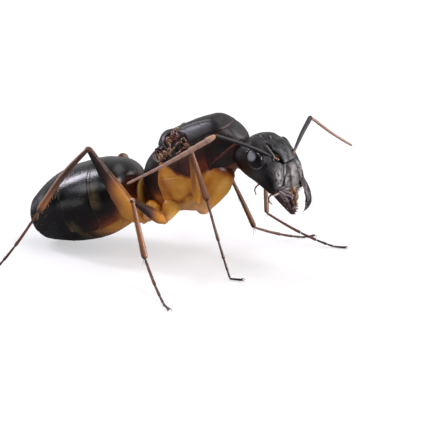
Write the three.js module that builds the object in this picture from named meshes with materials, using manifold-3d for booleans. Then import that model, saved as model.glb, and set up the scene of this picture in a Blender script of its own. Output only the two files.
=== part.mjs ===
import * as THREE from 'three';
import { mergeVertices } from 'three/addons/utils/BufferGeometryUtils.js';
import Module from 'manifold-3d';

// A carpenter-ant queen that has shed her wings, standing on six feet, at life size.
// Millimetres: X runs towards her head, Y to her left, Z up, and the floor is Z = 0.

const wasm = await Module();
wasm.setup();

// ---- Driving dimensions ----

const PARTING = 0.04; // open line between neighbouring plates
const FINEST_EDGE = 0.012; // edges shorter than this are joined after a cut

// Trunk: the mesosoma, pitched nose up. Its own frame runs along its length.
const TRUNK = { at: [0.4, 0, 6.0], pitch: 27 };
// Place along the trunk, half width, top, bottom, level of greatest width.
const TRUNK_FORM = [
  [-3.75, 0.6, 0.1, -1.1, -0.5],
  [-3.35, 0.95, 1.0, -1.4, -0.25],
  [-2.8, 1.2, 1.72, -1.65, 0.0],
  [-2.2, 1.38, 2.12, -1.88, 0.2],
  [-1.6, 1.5, 2.38, -2.08, 0.4],
  [-0.85, 1.6, 3.02, -2.36, 0.6],
  [-0.1, 1.68, 3.05, -2.25, 0.8],
  [1.2, 1.72, 3.06, -1.9, 1.0],
  [2.4, 1.62, 2.98, -1.0, 1.1],
  [3.2, 1.45, 2.76, -0.48, 1.1],
  [3.85, 1.15, 1.98, -0.02, 1.0],
  [4.3, 0.85, 1.12, 0.4, 0.85],
];
const TRUNK_SQUARENESS = 2.3;
const TRUNK_ROUND = { start: 0.5, end: 0.45 };

// Seams of the trunk in side view: place along it, height above its axis. Those whose names
// end in Air, Floor or Tail lie outside the body, so that their plates run out to its skin.
const SEAM = {
  scutumFront: [4.4, 2.0],
  scutumShoulder: [3.3, 1.95],
  wingRoot: [0.1, 2.05],
  scutumRear: [-0.25, 3.6],
  scutellumRear: [-1.45, 3.6],
  waistTop: [-1.3, 2.35],
  pleuronTop: [-0.95, 2.0],
  shoulderHeel: [2.3, 2.0],
  pronotumHeel: [2.0, 0.4],
  pronotumToe: [4.6, 1.05],
  sideFront: [2.05, 0.0],
  sideMiddle: [-1.75, 0.55],
  flankFoot: [-2.85, -2.4],
  chestFoot: [1.7, -2.4],
  scutumAir: [5.5, 3.6],
  collarAir: [5.5, 2.0],
  neckAir: [5.5, 1.05],
  chestFloor: [5.5, -2.4],
  waistAir: [-5.0, 3.6],
  waistTail: [-5.0, -2.4],
};
const TRUNK_BLOCK = 6; // wider than the trunk

// The torn root of the fore wing, on the side of the trunk below the scutellum.
const WING_ROOT = { at: [-0.15, 1.66, 1.95], length: 0.5, depth: 0.26, height: 0.4 };

// Head: its frame runs from the nape to the mouth, with the face on top.
const HEAD = { at: [5.46, -0.3, 7.27], yaw: -15, pitch: -58 };
const HEAD_FORM = [
  [-1.98, 1.12, 0.55, -1.2, -0.2],
  [-1.5, 1.5, 0.8, -1.76, -0.2],
  [-0.8, 1.8, 1.21, -1.88, -0.05],
  [-0.1, 1.92, 1.4, -1.58, 0.15],
  [0.7, 1.9, 1.38, -0.92, 0.3],
  [1.3, 1.84, 1.17, -0.5, 0.4],
  [1.75, 1.75, 1.0, -0.18, 0.45],
  [2.0, 1.62, 0.86, 0.0, 0.45],
];
const HEAD_SQUARENESS = 2.2;
const HEAD_ROUND = { start: 0.5, end: 0.25 };
const EYE = { at: [-0.57, 1.69, 0.4], length: 0.58, width: 0.47, height: 0.25, tilt: 64 };
const CLYPEUS_FORM = [
  [0.5, 0.5, 1.47, 1.0, 1.1],
  [1.0, 0.72, 1.42, 0.88, 1.06],
  [1.6, 0.98, 1.16, 0.6, 0.85],
  [2.1, 1.05, 0.88, 0.43, 0.68],
];
const MOUTHPARTS_FORM = [
  [1.75, 0.7, 0.6, 0.0, 0.3],
  [2.2, 0.72, 0.62, 0.02, 0.32],
  [2.5, 0.45, 0.48, 0.1, 0.3],
];

// Mandibles: a triangular blade with a toothed cutting edge.
const MANDIBLE = { at: [1.72, 1.25, 0.74], pitch: -13, roll: 32, thickness: 0.5, tipThickness: 0.3 };
const MANDIBLE_CLOSING = { right: 8, left: 6 };
const MANDIBLE_TEETH = 6;
const TOOTH_DEPTH = 0.1;
const MANDIBLE_TIP = [1.94, 0.36];
const MANDIBLE_HEEL = [1.16, 0.78];
const MANDIBLE_OUTER = [[0.0, -0.58], [0.6, -0.42], [1.13, -0.2], [1.6, 0.02]];
const MANDIBLE_INNER = [[0.72, 0.64], [0.33, 0.5], [0.0, 0.33]];

// Antennae: socket on the face, then swing and lift of each length in degrees.
const SOCKET = [0.04, 0.84, 1.42];
const SCAPE_LENGTH = 4.2;
const FUNICULUS_LENGTH = 6.2;
const FEELER_RADIUS = 0.25;
const ANTENNA_POSE = {
  right: { scape: [-158, 19.5], funiculus: [-154, -28] },
  left: { scape: [94, 13], funiculus: [75, -32] },
};

// Petiole: an upright scale between trunk and gaster, from its foot upward.
const PETIOLE = { at: [-3.2, 0, 2.75] };
const PETIOLE_FORM = [
  [0.0, 0.55, 0.6, -0.5, 0.0],
  [0.6, 0.68, 0.58, -0.48, 0.0],
  [1.1, 0.8, 0.38, -0.3, 0.05],
  [1.8, 0.8, 0.28, -0.22, 0.05],
  [2.4, 0.62, 0.2, -0.12, 0.05],
];

// Gaster: the frame starts at its front pole and runs back along negative X.
const GASTER = { at: [-3.5, 0, 4.45], pitch: 21 };
const GASTER_FORM = [
  [-8.0, 1.25, 0.92, -1.42, -0.16],
  [-7.2, 1.62, 1.39, -1.76, -0.12],
  [-6.0, 2.2, 2.06, -2.14, -0.03],
  [-4.6, 2.6, 2.47, -2.44, 0.0],
  [-3.0, 2.75, 2.58, -2.51, 0.0],
  [-1.6, 2.62, 2.48, -2.24, 0.0],
  [-0.8, 2.5, 2.24, -1.9, 0.12],
  [0.0, 2.35, 2.2, -1.45, 0.45],
  [0.4, 2.2, 2.1, -1.1, 0.6],
];
const GASTER_ROUND = { start: 0.8, end: 1.4 };
const GASTER_EDGES = [-8.0, -7.5, -6.5, -4.5, -2.25, 0.4];

// Legs, front pair first. Swing is measured from X towards Y, lift from the floor.
const LEGS = [
  {
    pair: 'fore', root: [2.75, 0.85, 7.0], hip: [1.25, 1.85, 4.7], coxaTip: [1.2, 1.4, 3.8],
    coxa: [0.8, 1.0], femur: 4.2, tibia: 3.6, tarsus: 5.85,
    leftCoxa: { root: [2.5, 0.75, 6.9], hip: [3.6, 2.5, 6.05], coxa: [0.55, 0.55] },
    right: { femur: [-86, 69], tibia: [36, -73], tarsus: 6 },
    left: { femur: [101, -14], tibia: [-66, -57], tarsus: 5 },
  },
  {
    pair: 'mid', root: [-0.6, 0.75, 4.5], hip: [-1.2, 1.35, 2.92],
    coxa: [0.55, 0.6], femur: 4.5, tibia: 3.7, tarsus: 4.5,
    right: { femur: [-100, 34], tibia: [-30, -71], tarsus: -47 },
    left: { femur: [60, 14], tibia: [-31, -49], tarsus: 40 },
  },
  {
    pair: 'hind', root: [-1.75, 0.75, 4.0], hip: [-2.55, 1.5, 2.82],
    coxa: [0.55, 0.6], femur: 6.2, tibia: 5.1, tarsus: 5.9,
    right: { femur: [-145, 56], tibia: [-138, -48], tarsus: -155 },
    left: { femur: [137, 16], tibia: [159, -42], tarsus: 130 },
  },
];
const LIMB_RADIUS = 0.25;
const FEMUR_RADIUS = { fore: 0.34, mid: 0.4, hind: 0.46 };
const TIBIA_END_DEPTH = 0.28;
// Coxa: share of its length, then shares of its greatest half width and half depth.
const COXA_SHAPE = [[0, 0.75, 0.8], [0.4, 1, 1], [0.8, 0.75, 0.6], [1, 0.6, 0.4]];

// Feet: a tarsus is slack by this share of its length and ends in a flat toe and two claws.
const TARSUS_SPAN = 0.96;
const TARSUS_SIDES = 8;
const TARSUS_STEPS = 7;
const TOE = { length: 0.7, point: 0.08 };
const INSTEP = { reach: 0.55, drop: 0.5, slope: 0.35 };
const CLAW = { length: 0.3, radius: 0.09, droop: 20, splay: 28, ahead: 0.12, aside: 0.1 };

// ---- Finishes ----

const finish = (color, roughness) => ({ color, roughness, metalness: 0 });
const FINISH = {
  black: finish('#1b191b', 0.28),
  brown: finish('#4a2c1b', 0.32),
  amber: finish('#a8702a', 0.35),
  reddish: finish('#6a3f24', 0.38),
  eye: finish('#2a2a2e', 0.25),
  mouth: finish('#a8672e', 0.45),
};

// ---- Lofted forms ----

// Values at one place on a smooth curve through stations that start with their place.
function between(stations, place) {
  let i = 0;
  while (i < stations.length - 2 && place > stations[i + 1][0]) i += 1;
  const low = stations[i];
  const high = stations[i + 1];
  const before = stations[Math.max(i - 1, 0)];
  const after = stations[Math.min(i + 2, stations.length - 1)];
  const span = high[0] - low[0];
  const t = (place - low[0]) / span;
  return low.map((value, k) => {
    const leave = ((high[k] - before[k]) / (high[0] - before[0])) * span;
    const arrive = ((after[k] - value) / (after[0] - low[0])) * span;
    const bend = value - high[k];
    return value + t * (leave + t * (-3 * bend - 2 * leave - arrive + t * (2 * bend + leave + arrive)));
  });
}

// How much of the full section is left this close to a rounded end.
function rounding(distance, length) {
  if (distance >= length) return 1;
  return Math.sqrt(1 - (1 - distance / length) ** 2);
}

// One ring of a body across X, squarer than an ellipse where squareness is above 2.
function ring(x, [, half, top, bottom, waist], share, squareness, sides, swell) {
  const points = [];
  for (let k = 0; k < sides; k += 1) {
    const angle = ((k + 0.5) * 2 * Math.PI) / sides;
    const c = Math.cos(angle);
    const s = Math.sin(angle);
    const reach = s > 0 ? top - waist : waist - bottom;
    const y = Math.sign(c) * Math.abs(c) ** (2 / squareness) * (half * share + swell);
    const z = Math.sign(s) * Math.abs(s) ** (2 / squareness) * (reach * share + swell);
    points.push(new THREE.Vector3(x, y, waist + z));
  }
  return points;
}

// A closed skin over rings that follow each other along X, shut by a middle point at each end.
function skin(rings, startPole, endPole) {
  const sides = rings[0].length;
  const points = [...rings.flat(), startPole, endPole];
  const start = points.length - 2;
  const end = points.length - 1;
  const lastRing = (rings.length - 1) * sides;
  const faces = [];
  for (let k = 0; k < sides; k += 1) {
    const next = (k + 1) % sides;
    faces.push(start, next, k);
    faces.push(end, lastRing + k, lastRing + next);
    for (let i = 0; i < rings.length - 1; i += 1) {
      const here = i * sides;
      const ahead = here + sides;
      faces.push(here + k, here + next, ahead + k);
      faces.push(here + next, ahead + next, ahead + k);
    }
  }
  const geometry = new THREE.BufferGeometry();
  geometry.setFromPoints(points);
  geometry.setIndex(faces);
  return geometry;
}

// A body lofted through stations, or through the part of them between two places.
function loft(stations, options = {}) {
  const { rings = 9, sides = 12, squareness = 2, round = { start: 0, end: 0 }, swell = 0 } = options;
  const first = stations[0][0];
  const last = stations[stations.length - 1][0];
  const { from = first, to = last } = options;
  const layers = [];
  const poles = [];
  for (let i = 0; i < rings; i += 1) {
    const share = (1 - Math.cos((Math.PI * i) / (rings - 1))) / 2;
    const place = from + (to - from) * share;
    const station = between(stations, place);
    const size = rounding(place - first, round.start) * rounding(last - place, round.end);
    const x = place + swell * (2 * share - 1);
    const isEnd = i === 0 || i === rings - 1;
    if (isEnd) poles.push(new THREE.Vector3(x, 0, station[4]));
    if (size > 0) layers.push(ring(x, station, size, squareness, sides, swell));
  }
  return skin(layers, poles[0], poles[1]);
}

// A straight limb: sections by share of its length, half width and half depth.
function limb(length, sections, swell = 0) {
  const stations = sections.map(([share, half, depth]) => [share * length, half, depth, -depth, 0]);
  const round = { start: LIMB_RADIUS, end: LIMB_RADIUS };
  return loft(stations, { rings: 8, sides: 8, round, swell });
}

// A tarsus in its own upright plane: it drops from the ankle and ends flat on the floor.
function tarsusForm(height, reach) {
  const corner = LIMB_RADIUS / Math.cos(Math.PI / TARSUS_SIDES);
  const heel = reach - TOE.length;
  const drop = LIMB_RADIUS - height;
  const fall = INSTEP.drop + (INSTEP.slope * reach) / (reach + height);
  const route = new THREE.QuadraticBezierCurve(
    new THREE.Vector2(0, 0),
    new THREE.Vector2(heel * INSTEP.reach, drop * fall),
    new THREE.Vector2(heel, drop),
  );
  const points = route.getPoints(TARSUS_STEPS);
  points.push(new THREE.Vector2(reach, drop));
  const rings = points.map((point, i) => {
    const back = points[Math.max(i - 1, 0)];
    const ahead = points[Math.min(i + 1, points.length - 1)];
    const isToe = i >= points.length - 2;
    const along = isToe ? new THREE.Vector2(1, 0) : ahead.clone().sub(back).normalize();
    const layer = [];
    for (let k = 0; k < TARSUS_SIDES; k += 1) {
      const angle = ((k + 0.5) * 2 * Math.PI) / TARSUS_SIDES;
      const rise = Math.sin(angle) * corner;
      const y = Math.cos(angle) * corner;
      layer.push(new THREE.Vector3(point.x - along.y * rise, y, point.y + along.x * rise));
    }
    return layer;
  });
  const start = new THREE.Vector3(points[0].x, 0, points[0].y);
  const end = new THREE.Vector3(reach + TOE.point, 0, drop);
  return skin(rings, start, end);
}

// The claw on one side of the toe.
function clawForm(height, reach, side) {
  const claw = new THREE.ConeGeometry(CLAW.radius, CLAW.length, 5);
  claw.rotateZ(-Math.PI / 2);
  claw.rotateY(THREE.MathUtils.degToRad(CLAW.droop));
  claw.rotateZ(THREE.MathUtils.degToRad(CLAW.splay * side));
  claw.translate(reach + CLAW.ahead, CLAW.aside * side, LIMB_RADIUS - height);
  return claw;
}

// A mandible blade in its own plane: X runs to the tip and Y towards the mouth.
function mandibleForm(swell = 0) {
  const outline = [...MANDIBLE_OUTER, MANDIBLE_TIP];
  for (let i = 1; i <= MANDIBLE_TEETH; i += 1) {
    const notch = (i - 0.5) / MANDIBLE_TEETH;
    const tooth = i / MANDIBLE_TEETH;
    const x = THREE.MathUtils.lerp(MANDIBLE_TIP[0], MANDIBLE_HEEL[0], notch);
    const y = THREE.MathUtils.lerp(MANDIBLE_TIP[1], MANDIBLE_HEEL[1], notch);
    outline.push([x - TOOTH_DEPTH * 0.5, y - TOOTH_DEPTH]);
    outline.push([
      THREE.MathUtils.lerp(MANDIBLE_TIP[0], MANDIBLE_HEEL[0], tooth),
      THREE.MathUtils.lerp(MANDIBLE_TIP[1], MANDIBLE_HEEL[1], tooth),
    ]);
  }
  outline.push(...MANDIBLE_INNER);
  const shape = new THREE.Shape(outline.map(([x, y]) => new THREE.Vector2(x, y)));
  const geometry = new THREE.ExtrudeGeometry(shape, { depth: 1, steps: 1, bevelEnabled: false });
  const position = geometry.getAttribute('position');
  for (let i = 0; i < position.count; i += 1) {
    const share = position.getX(i) / MANDIBLE_TIP[0];
    const thickness = THREE.MathUtils.lerp(MANDIBLE.thickness, MANDIBLE.tipThickness, share);
    position.setZ(i, (position.getZ(i) - 0.5) * (thickness + 2 * swell));
  }
  return geometry;
}

// ---- Cutting and placing ----

function solidOf(geometry) {
  const bare = geometry.clone();
  bare.deleteAttribute('normal');
  bare.deleteAttribute('uv');
  const merged = mergeVertices(bare, 1e-5);
  return new wasm.Manifold(new wasm.Mesh({
    numProp: 3,
    vertProperties: new Float32Array(merged.getAttribute('position').array),
    triVerts: new Uint32Array(merged.index.array),
  }));
}

function geometryOf(solid) {
  const mesh = solid.getMesh();
  const geometry = new THREE.BufferGeometry();
  geometry.setAttribute('position', new THREE.BufferAttribute(mesh.vertProperties, 3));
  geometry.setIndex(new THREE.BufferAttribute(mesh.triVerts, 1));
  return geometry;
}

// Takes neighbours' swollen forms, each with its own placing, out of a mesh.
function carve(mesh, cutters) {
  mesh.updateWorldMatrix(true, false);
  const toMesh = mesh.matrixWorld.clone().invert();
  let solid = solidOf(mesh.geometry);
  for (const { form, carrier } of cutters) {
    carrier.updateWorldMatrix(true, false);
    const move = toMesh.clone().multiply(carrier.matrixWorld);
    solid = solid.subtract(solidOf(form.clone().applyMatrix4(move)));
  }
  const pieces = solid.decompose().sort((a, b) => b.volume() - a.volume());
  mesh.geometry = geometryOf(pieces[0].simplify(FINEST_EDGE));
}

const ant = new THREE.Group();

function frame({ at, yaw = 0, pitch = 0 }) {
  const group = new THREE.Group();
  group.position.set(...at);
  group.rotation.set(0, THREE.MathUtils.degToRad(-pitch), THREE.MathUtils.degToRad(yaw), 'ZYX');
  ant.add(group);
  return group;
}

function place(parent, name, geometry, look) {
  const mesh = new THREE.Mesh(geometry, new THREE.MeshStandardMaterial(look));
  mesh.name = name;
  parent.add(mesh);
  return mesh;
}

// ---- Trunk ----

const trunk = frame(TRUNK);
const trunkForm = (swell) => loft(TRUNK_FORM, {
  rings: 15, sides: 20, squareness: TRUNK_SQUARENESS, round: TRUNK_ROUND, swell,
});

// An outline in side view with every edge moved inward by a distance.
function inset(outline, distance) {
  return outline.map((corner, i) => {
    const back = new THREE.Vector2(...outline[(i + outline.length - 1) % outline.length]);
    const here = new THREE.Vector2(...corner);
    const ahead = new THREE.Vector2(...outline[(i + 1) % outline.length]);
    const arriving = here.clone().sub(back).normalize();
    const leaving = ahead.clone().sub(here).normalize();
    const first = new THREE.Vector2(-arriving.y, arriving.x);
    const second = new THREE.Vector2(-leaving.y, leaving.x);
    const move = first.add(second).divideScalar(1 + arriving.dot(leaving));
    return here.addScaledVector(move, distance);
  });
}

// The share of the trunk inside an outline drawn counter-clockwise in side view.
function plate(outline) {
  const shape = new THREE.Shape(inset(outline, PARTING / 2));
  const block = new THREE.ExtrudeGeometry(shape, { depth: TRUNK_BLOCK, bevelEnabled: false });
  block.translate(0, 0, -TRUNK_BLOCK / 2);
  block.rotateX(Math.PI / 2);
  return geometryOf(solidOf(trunkForm(0)).intersect(solidOf(block)).simplify(FINEST_EDGE));
}

const plates = {
  mesoscutum: [FINISH.black, ['wingRoot', 'scutumShoulder', 'scutumFront', 'scutumAir', 'scutumRear']],
  mesoscutellum: [FINISH.black, ['waistTop', 'pleuronTop', 'wingRoot', 'scutumRear', 'scutellumRear']],
  pronotum: [FINISH.black, ['pronotumHeel', 'pronotumToe', 'neckAir', 'collarAir', 'scutumFront',
    'scutumShoulder', 'shoulderHeel']],
  propleuron: [FINISH.brown, ['sideFront', 'chestFoot', 'chestFloor', 'neckAir', 'pronotumToe',
    'pronotumHeel']],
  mesopleuron_upper: [FINISH.brown, ['sideMiddle', 'sideFront', 'pronotumHeel', 'shoulderHeel',
    'wingRoot', 'pleuronTop']],
  mesopleuron_lower: [FINISH.amber, ['flankFoot', 'chestFoot', 'sideFront', 'sideMiddle']],
  propodeum: [FINISH.brown, ['waistTail', 'flankFoot', 'sideMiddle', 'pleuronTop', 'waistTop',
    'scutellumRear', 'waistAir']],
};
for (const [name, [look, seams]] of Object.entries(plates)) {
  place(trunk, name, plate(seams.map((seam) => SEAM[seam])), look);
}
const trunkCutter = { form: trunkForm(PARTING), carrier: trunk };
for (const [side, sign] of [['right', -1], ['left', 1]]) {
  const knob = new THREE.SphereGeometry(1, 10, 7);
  knob.scale(WING_ROOT.length, WING_ROOT.depth, WING_ROOT.height);
  const wingRoot = place(trunk, `wing_root_${side}`, knob, FINISH.reddish);
  wingRoot.position.set(WING_ROOT.at[0], WING_ROOT.at[1] * sign, WING_ROOT.at[2]);
  carve(wingRoot, [trunkCutter]);
}

// ---- Head ----

const head = frame(HEAD);
const headForm = (swell) => loft(HEAD_FORM, {
  rings: 13, sides: 24, squareness: HEAD_SQUARENESS, round: HEAD_ROUND, swell,
});
const clypeusForm = (swell) => loft(CLYPEUS_FORM, {
  rings: 5, sides: 12, squareness: 2.6, round: { start: 0.15, end: 0.1 }, swell,
});
const mouthForm = loft(MOUTHPARTS_FORM, {
  rings: 5, sides: 10, round: { start: 0.1, end: 0.25 },
});

const capsule = place(head, 'head', headForm(0), FINISH.black);
const clypeus = place(head, 'clypeus', clypeusForm(0), FINISH.black);
const headCutter = { form: headForm(PARTING), carrier: head };
const clypeusCutter = { form: clypeusForm(PARTING), carrier: clypeus };
const eyeCutters = [];
for (const [side, sign] of [['right', -1], ['left', 1]]) {
  const dome = new THREE.SphereGeometry(1, 14, 9);
  const eye = place(head, `eye_${side}`, dome, FINISH.eye);
  eye.position.set(EYE.at[0], EYE.at[1] * sign, EYE.at[2]);
  eye.rotation.x = THREE.MathUtils.degToRad(-EYE.tilt * sign);
  const mould = new THREE.SphereGeometry(1, 14, 9);
  const sizes = [EYE.length, EYE.width, EYE.height];
  dome.scale(...sizes);
  mould.scale(...sizes.map((size) => size + PARTING));
  eyeCutters.push({ form: mould, carrier: eye });
}
carve(capsule, [...eyeCutters, clypeusCutter, trunkCutter]);

const mouthparts = place(head, 'mouthparts', mouthForm, FINISH.mouth);
const mandibleCutters = [];
for (const [side, sign] of [['right', -1], ['left', 1]]) {
  const form = mandibleForm();
  const mould = mandibleForm(PARTING);
  if (sign > 0) {
    for (const geometry of [form, mould]) {
      geometry.rotateX(Math.PI);
    }
  }
  const mandible = place(head, `mandible_${side}`, form, FINISH.reddish);
  mandible.position.set(MANDIBLE.at[0], MANDIBLE.at[1] * sign, MANDIBLE.at[2]);
  mandible.rotation.set(
    THREE.MathUtils.degToRad(-MANDIBLE.roll * sign),
    THREE.MathUtils.degToRad(-MANDIBLE.pitch),
    THREE.MathUtils.degToRad(-MANDIBLE_CLOSING[side] * sign),
    'ZYX',
  );
  carve(mandible, [headCutter, clypeusCutter]);
  mandibleCutters.push({ form: mould, carrier: mandible });
}
carve(mouthparts, [headCutter, clypeusCutter, ...mandibleCutters]);

// ---- Limbs ----

// A group at a joint whose X points along a limb, from its swing and lift in degrees.
function joint(at, swing, lift) {
  return frame({ at, yaw: swing, pitch: lift });
}

function reachOf(at, swing, lift, length) {
  const flat = length * Math.cos(THREE.MathUtils.degToRad(lift));
  const turn = THREE.MathUtils.degToRad(swing);
  const rise = length * Math.sin(THREE.MathUtils.degToRad(lift));
  return [at[0] + flat * Math.cos(turn), at[1] + flat * Math.sin(turn), at[2] + rise];
}

const FEELER_SECTIONS = [0, 0.5, 1].map((share) => [share, FEELER_RADIUS, FEELER_RADIUS]);
head.updateWorldMatrix(true, false);
for (const [side, sign] of [['right', -1], ['left', 1]]) {
  const pose = ANTENNA_POSE[side];
  const socket = new THREE.Vector3(SOCKET[0], SOCKET[1] * sign, SOCKET[2]);
  const root = head.localToWorld(socket).toArray();
  const elbow = reachOf(root, ...pose.scape, SCAPE_LENGTH);
  const scape = place(joint(root, ...pose.scape), `antenna_scape_${side}`,
    limb(SCAPE_LENGTH, FEELER_SECTIONS), FINISH.black);
  carve(scape, [headCutter, clypeusCutter, ...eyeCutters]);
  const funiculus = place(joint(elbow, ...pose.funiculus), `antenna_funiculus_${side}`,
    limb(FUNICULUS_LENGTH, FEELER_SECTIONS), FINISH.reddish);
  const mould = limb(SCAPE_LENGTH, FEELER_SECTIONS, PARTING);
  carve(funiculus, [{ form: mould, carrier: scape }]);
}

for (const leg of LEGS) {
  for (const [side, sign] of [['right', -1], ['left', 1]]) {
    const pose = leg[side];
    const name = `${leg.pair}_${side}`;
    const upper = (side === 'left' && leg.leftCoxa) || leg;
    const root = new THREE.Vector3(upper.root[0], upper.root[1] * sign, upper.root[2]);
    const hip = [upper.hip[0], upper.hip[1] * sign, upper.hip[2]];
    const tip = upper.coxaTip || upper.hip;
    const axis = new THREE.Vector3(tip[0], tip[1] * sign, tip[2]).sub(root);
    const length = axis.length();
    const swing = THREE.MathUtils.radToDeg(Math.atan2(axis.y, axis.x));
    const lift = THREE.MathUtils.radToDeg(Math.asin(axis.z / length));
    const coxaStations = COXA_SHAPE.map(([share, wide, deep]) => {
      const depth = upper.coxa[1] * deep;
      return [length * share, upper.coxa[0] * wide, depth, -depth, 0];
    });
    const coxaForm = (swell) => loft(coxaStations, {
      rings: 8, sides: 12, round: { start: 0.5, end: 0.3 }, swell,
    });
    const coxa = place(joint(root.toArray(), swing, lift), `coxa_${name}`, coxaForm(0), FINISH.amber);
    carve(coxa, [trunkCutter, headCutter]);

    const thick = FEMUR_RADIUS[leg.pair];
    const thin = LIMB_RADIUS;
    const femurSections = [
      [0, thin, thin], [0.06, thin * 1.1, thin * 1.2], [0.16, thick * 0.85, thick],
      [0.35, thick * 0.82, thick * 0.97], [0.75, thin, thin * 1.15], [1, thin, thin],
    ];
    const tibiaSections = [[0, thin, thin], [0.3, thin, thin], [0.8, thin, TIBIA_END_DEPTH],
      [1, thin, thin]];
    const femur = place(joint(hip, ...pose.femur), `femur_${name}`,
      limb(leg.femur, femurSections), FINISH.reddish);
    carve(femur, [trunkCutter, { form: coxaForm(PARTING), carrier: coxa }]);

    const knee = reachOf(hip, ...pose.femur, leg.femur);
    const tibia = place(joint(knee, ...pose.tibia), `tibia_${name}`,
      limb(leg.tibia, tibiaSections), FINISH.reddish);
    carve(tibia, [{ form: limb(leg.femur, femurSections, PARTING), carrier: femur }]);

    const ankle = reachOf(knee, ...pose.tibia, leg.tibia);
    const height = ankle[2];
    const reach = Math.sqrt((leg.tarsus * TARSUS_SPAN) ** 2 - height ** 2);
    let tarsusSolid = solidOf(tarsusForm(height, reach));
    for (const clawSide of [-1, 1]) {
      tarsusSolid = tarsusSolid.add(solidOf(clawForm(height, reach, clawSide)));
    }
    const tarsus = place(joint(ankle, pose.tarsus, 0), `tarsus_${name}`,
      geometryOf(tarsusSolid), FINISH.reddish);
    carve(tarsus, [{ form: limb(leg.tibia, tibiaSections, PARTING), carrier: tibia }]);
  }
}

// ---- Petiole and gaster ----

const waist = new THREE.Group();
waist.position.set(...PETIOLE.at);
waist.rotation.y = -Math.PI / 2;
ant.add(waist);
const petioleForm = (swell) => loft(PETIOLE_FORM, {
  rings: 9, sides: 14, round: { start: 0.3, end: 0.45 }, swell,
});
const petiole = place(waist, 'petiole', petioleForm(0), FINISH.amber);
carve(petiole, [trunkCutter]);

const abdomen = frame(GASTER);
for (let i = 0; i < GASTER_EDGES.length - 1; i += 1) {
  const from = GASTER_EDGES[i] + (i > 0 ? PARTING / 2 : 0);
  const to = GASTER_EDGES[i + 1] - (i < GASTER_EDGES.length - 2 ? PARTING / 2 : 0);
  const form = loft(GASTER_FORM, {
    rings: Math.max(3, Math.round((to - from) * 2)), sides: 20, round: GASTER_ROUND, from, to,
  });
  const number = GASTER_EDGES.length - 1 - i;
  const segment = place(abdomen, `gaster_segment_${number}`, form, FINISH.black);
  if (number === 1) carve(segment, [{ form: petioleForm(PARTING), carrier: petiole }]);
}

// ---- Standing place: the middle of the footprint is the origin ----

ant.updateMatrixWorld(true);
const footprint = new THREE.Box3().setFromObject(ant, true);
ant.position.x = -(footprint.min.x + footprint.max.x) / 2;
ant.position.y = -(footprint.min.y + footprint.max.y) / 2;

export default ant;
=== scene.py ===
"""The looks of a carpenter-ant queen that has shed her wings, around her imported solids.

Lengths are millimetres until a mesh is made. Each part is shaped in a frame of its own:
X runs along it, Y to the ant's left and Z up or out of its face.
"""
import math
import bpy
import numpy as np
from mathutils import Matrix, Vector


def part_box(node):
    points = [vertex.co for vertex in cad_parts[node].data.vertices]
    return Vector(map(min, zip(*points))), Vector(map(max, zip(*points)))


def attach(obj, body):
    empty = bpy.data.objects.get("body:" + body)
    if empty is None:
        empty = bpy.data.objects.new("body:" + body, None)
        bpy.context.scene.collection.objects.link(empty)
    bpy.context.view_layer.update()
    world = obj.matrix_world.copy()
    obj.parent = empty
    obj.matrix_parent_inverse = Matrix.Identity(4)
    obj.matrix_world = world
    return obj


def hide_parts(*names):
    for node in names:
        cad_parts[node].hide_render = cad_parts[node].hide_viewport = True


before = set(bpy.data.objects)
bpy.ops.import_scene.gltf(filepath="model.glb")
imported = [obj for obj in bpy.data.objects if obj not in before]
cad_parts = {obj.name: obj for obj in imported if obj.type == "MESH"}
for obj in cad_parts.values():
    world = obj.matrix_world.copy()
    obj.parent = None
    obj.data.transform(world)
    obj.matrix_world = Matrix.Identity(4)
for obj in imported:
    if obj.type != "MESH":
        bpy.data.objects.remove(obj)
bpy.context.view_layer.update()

MM = 0.001
SIDES = {"right": -1, "left": 1}

# ---- Sizes and places shared with the solids ----

TRUNK = {"at": (0.4, 0, 6.0), "lift": 27}
TRUNK_FORM = [
    (-3.75, 0.6, 0.1, -1.1, -0.5),
    (-3.35, 0.95, 1.0, -1.4, -0.25),
    (-2.8, 1.2, 1.72, -1.65, 0.0),
    (-2.2, 1.38, 2.12, -1.88, 0.2),
    (-1.6, 1.5, 2.38, -2.08, 0.4),
    (-0.85, 1.6, 3.02, -2.36, 0.6),
    (-0.1, 1.68, 3.05, -2.25, 0.8),
    (1.2, 1.72, 3.06, -1.9, 1.0),
    (2.4, 1.62, 2.98, -1.0, 1.1),
    (3.2, 1.45, 2.76, -0.48, 1.1),
    (3.85, 1.15, 1.98, -0.02, 1.0),
    (4.3, 0.85, 1.12, 0.4, 0.85),
]
SEAM = {
    "scutumFront": (4.4, 2.0),
    "scutumShoulder": (3.3, 1.95),
    "wingRoot": (0.1, 2.05),
    "scutumRear": (-0.25, 3.6),
    "scutellumRear": (-1.45, 3.6),
    "waistTop": (-1.3, 2.35),
    "pleuronTop": (-0.95, 2.0),
    "shoulderHeel": (2.3, 2.0),
    "pronotumHeel": (2.0, 0.28),
    "pronotumToe": (4.6, 0.98),
    "sideFront": (2.05, 0.0),
    "sideMiddle": (-1.75, 0.55),
    "flankFoot": (-2.85, -2.4),
    "chestFoot": (1.7, -2.4),
    "scutumAir": (5.5, 3.6),
    "collarAir": (5.5, 2.0),
    "neckAir": (5.5, 0.98),
    "chestFloor": (5.5, -2.4),
    "waistAir": (-5.0, 3.6),
    "waistTail": (-5.0, -2.4),
}
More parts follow.
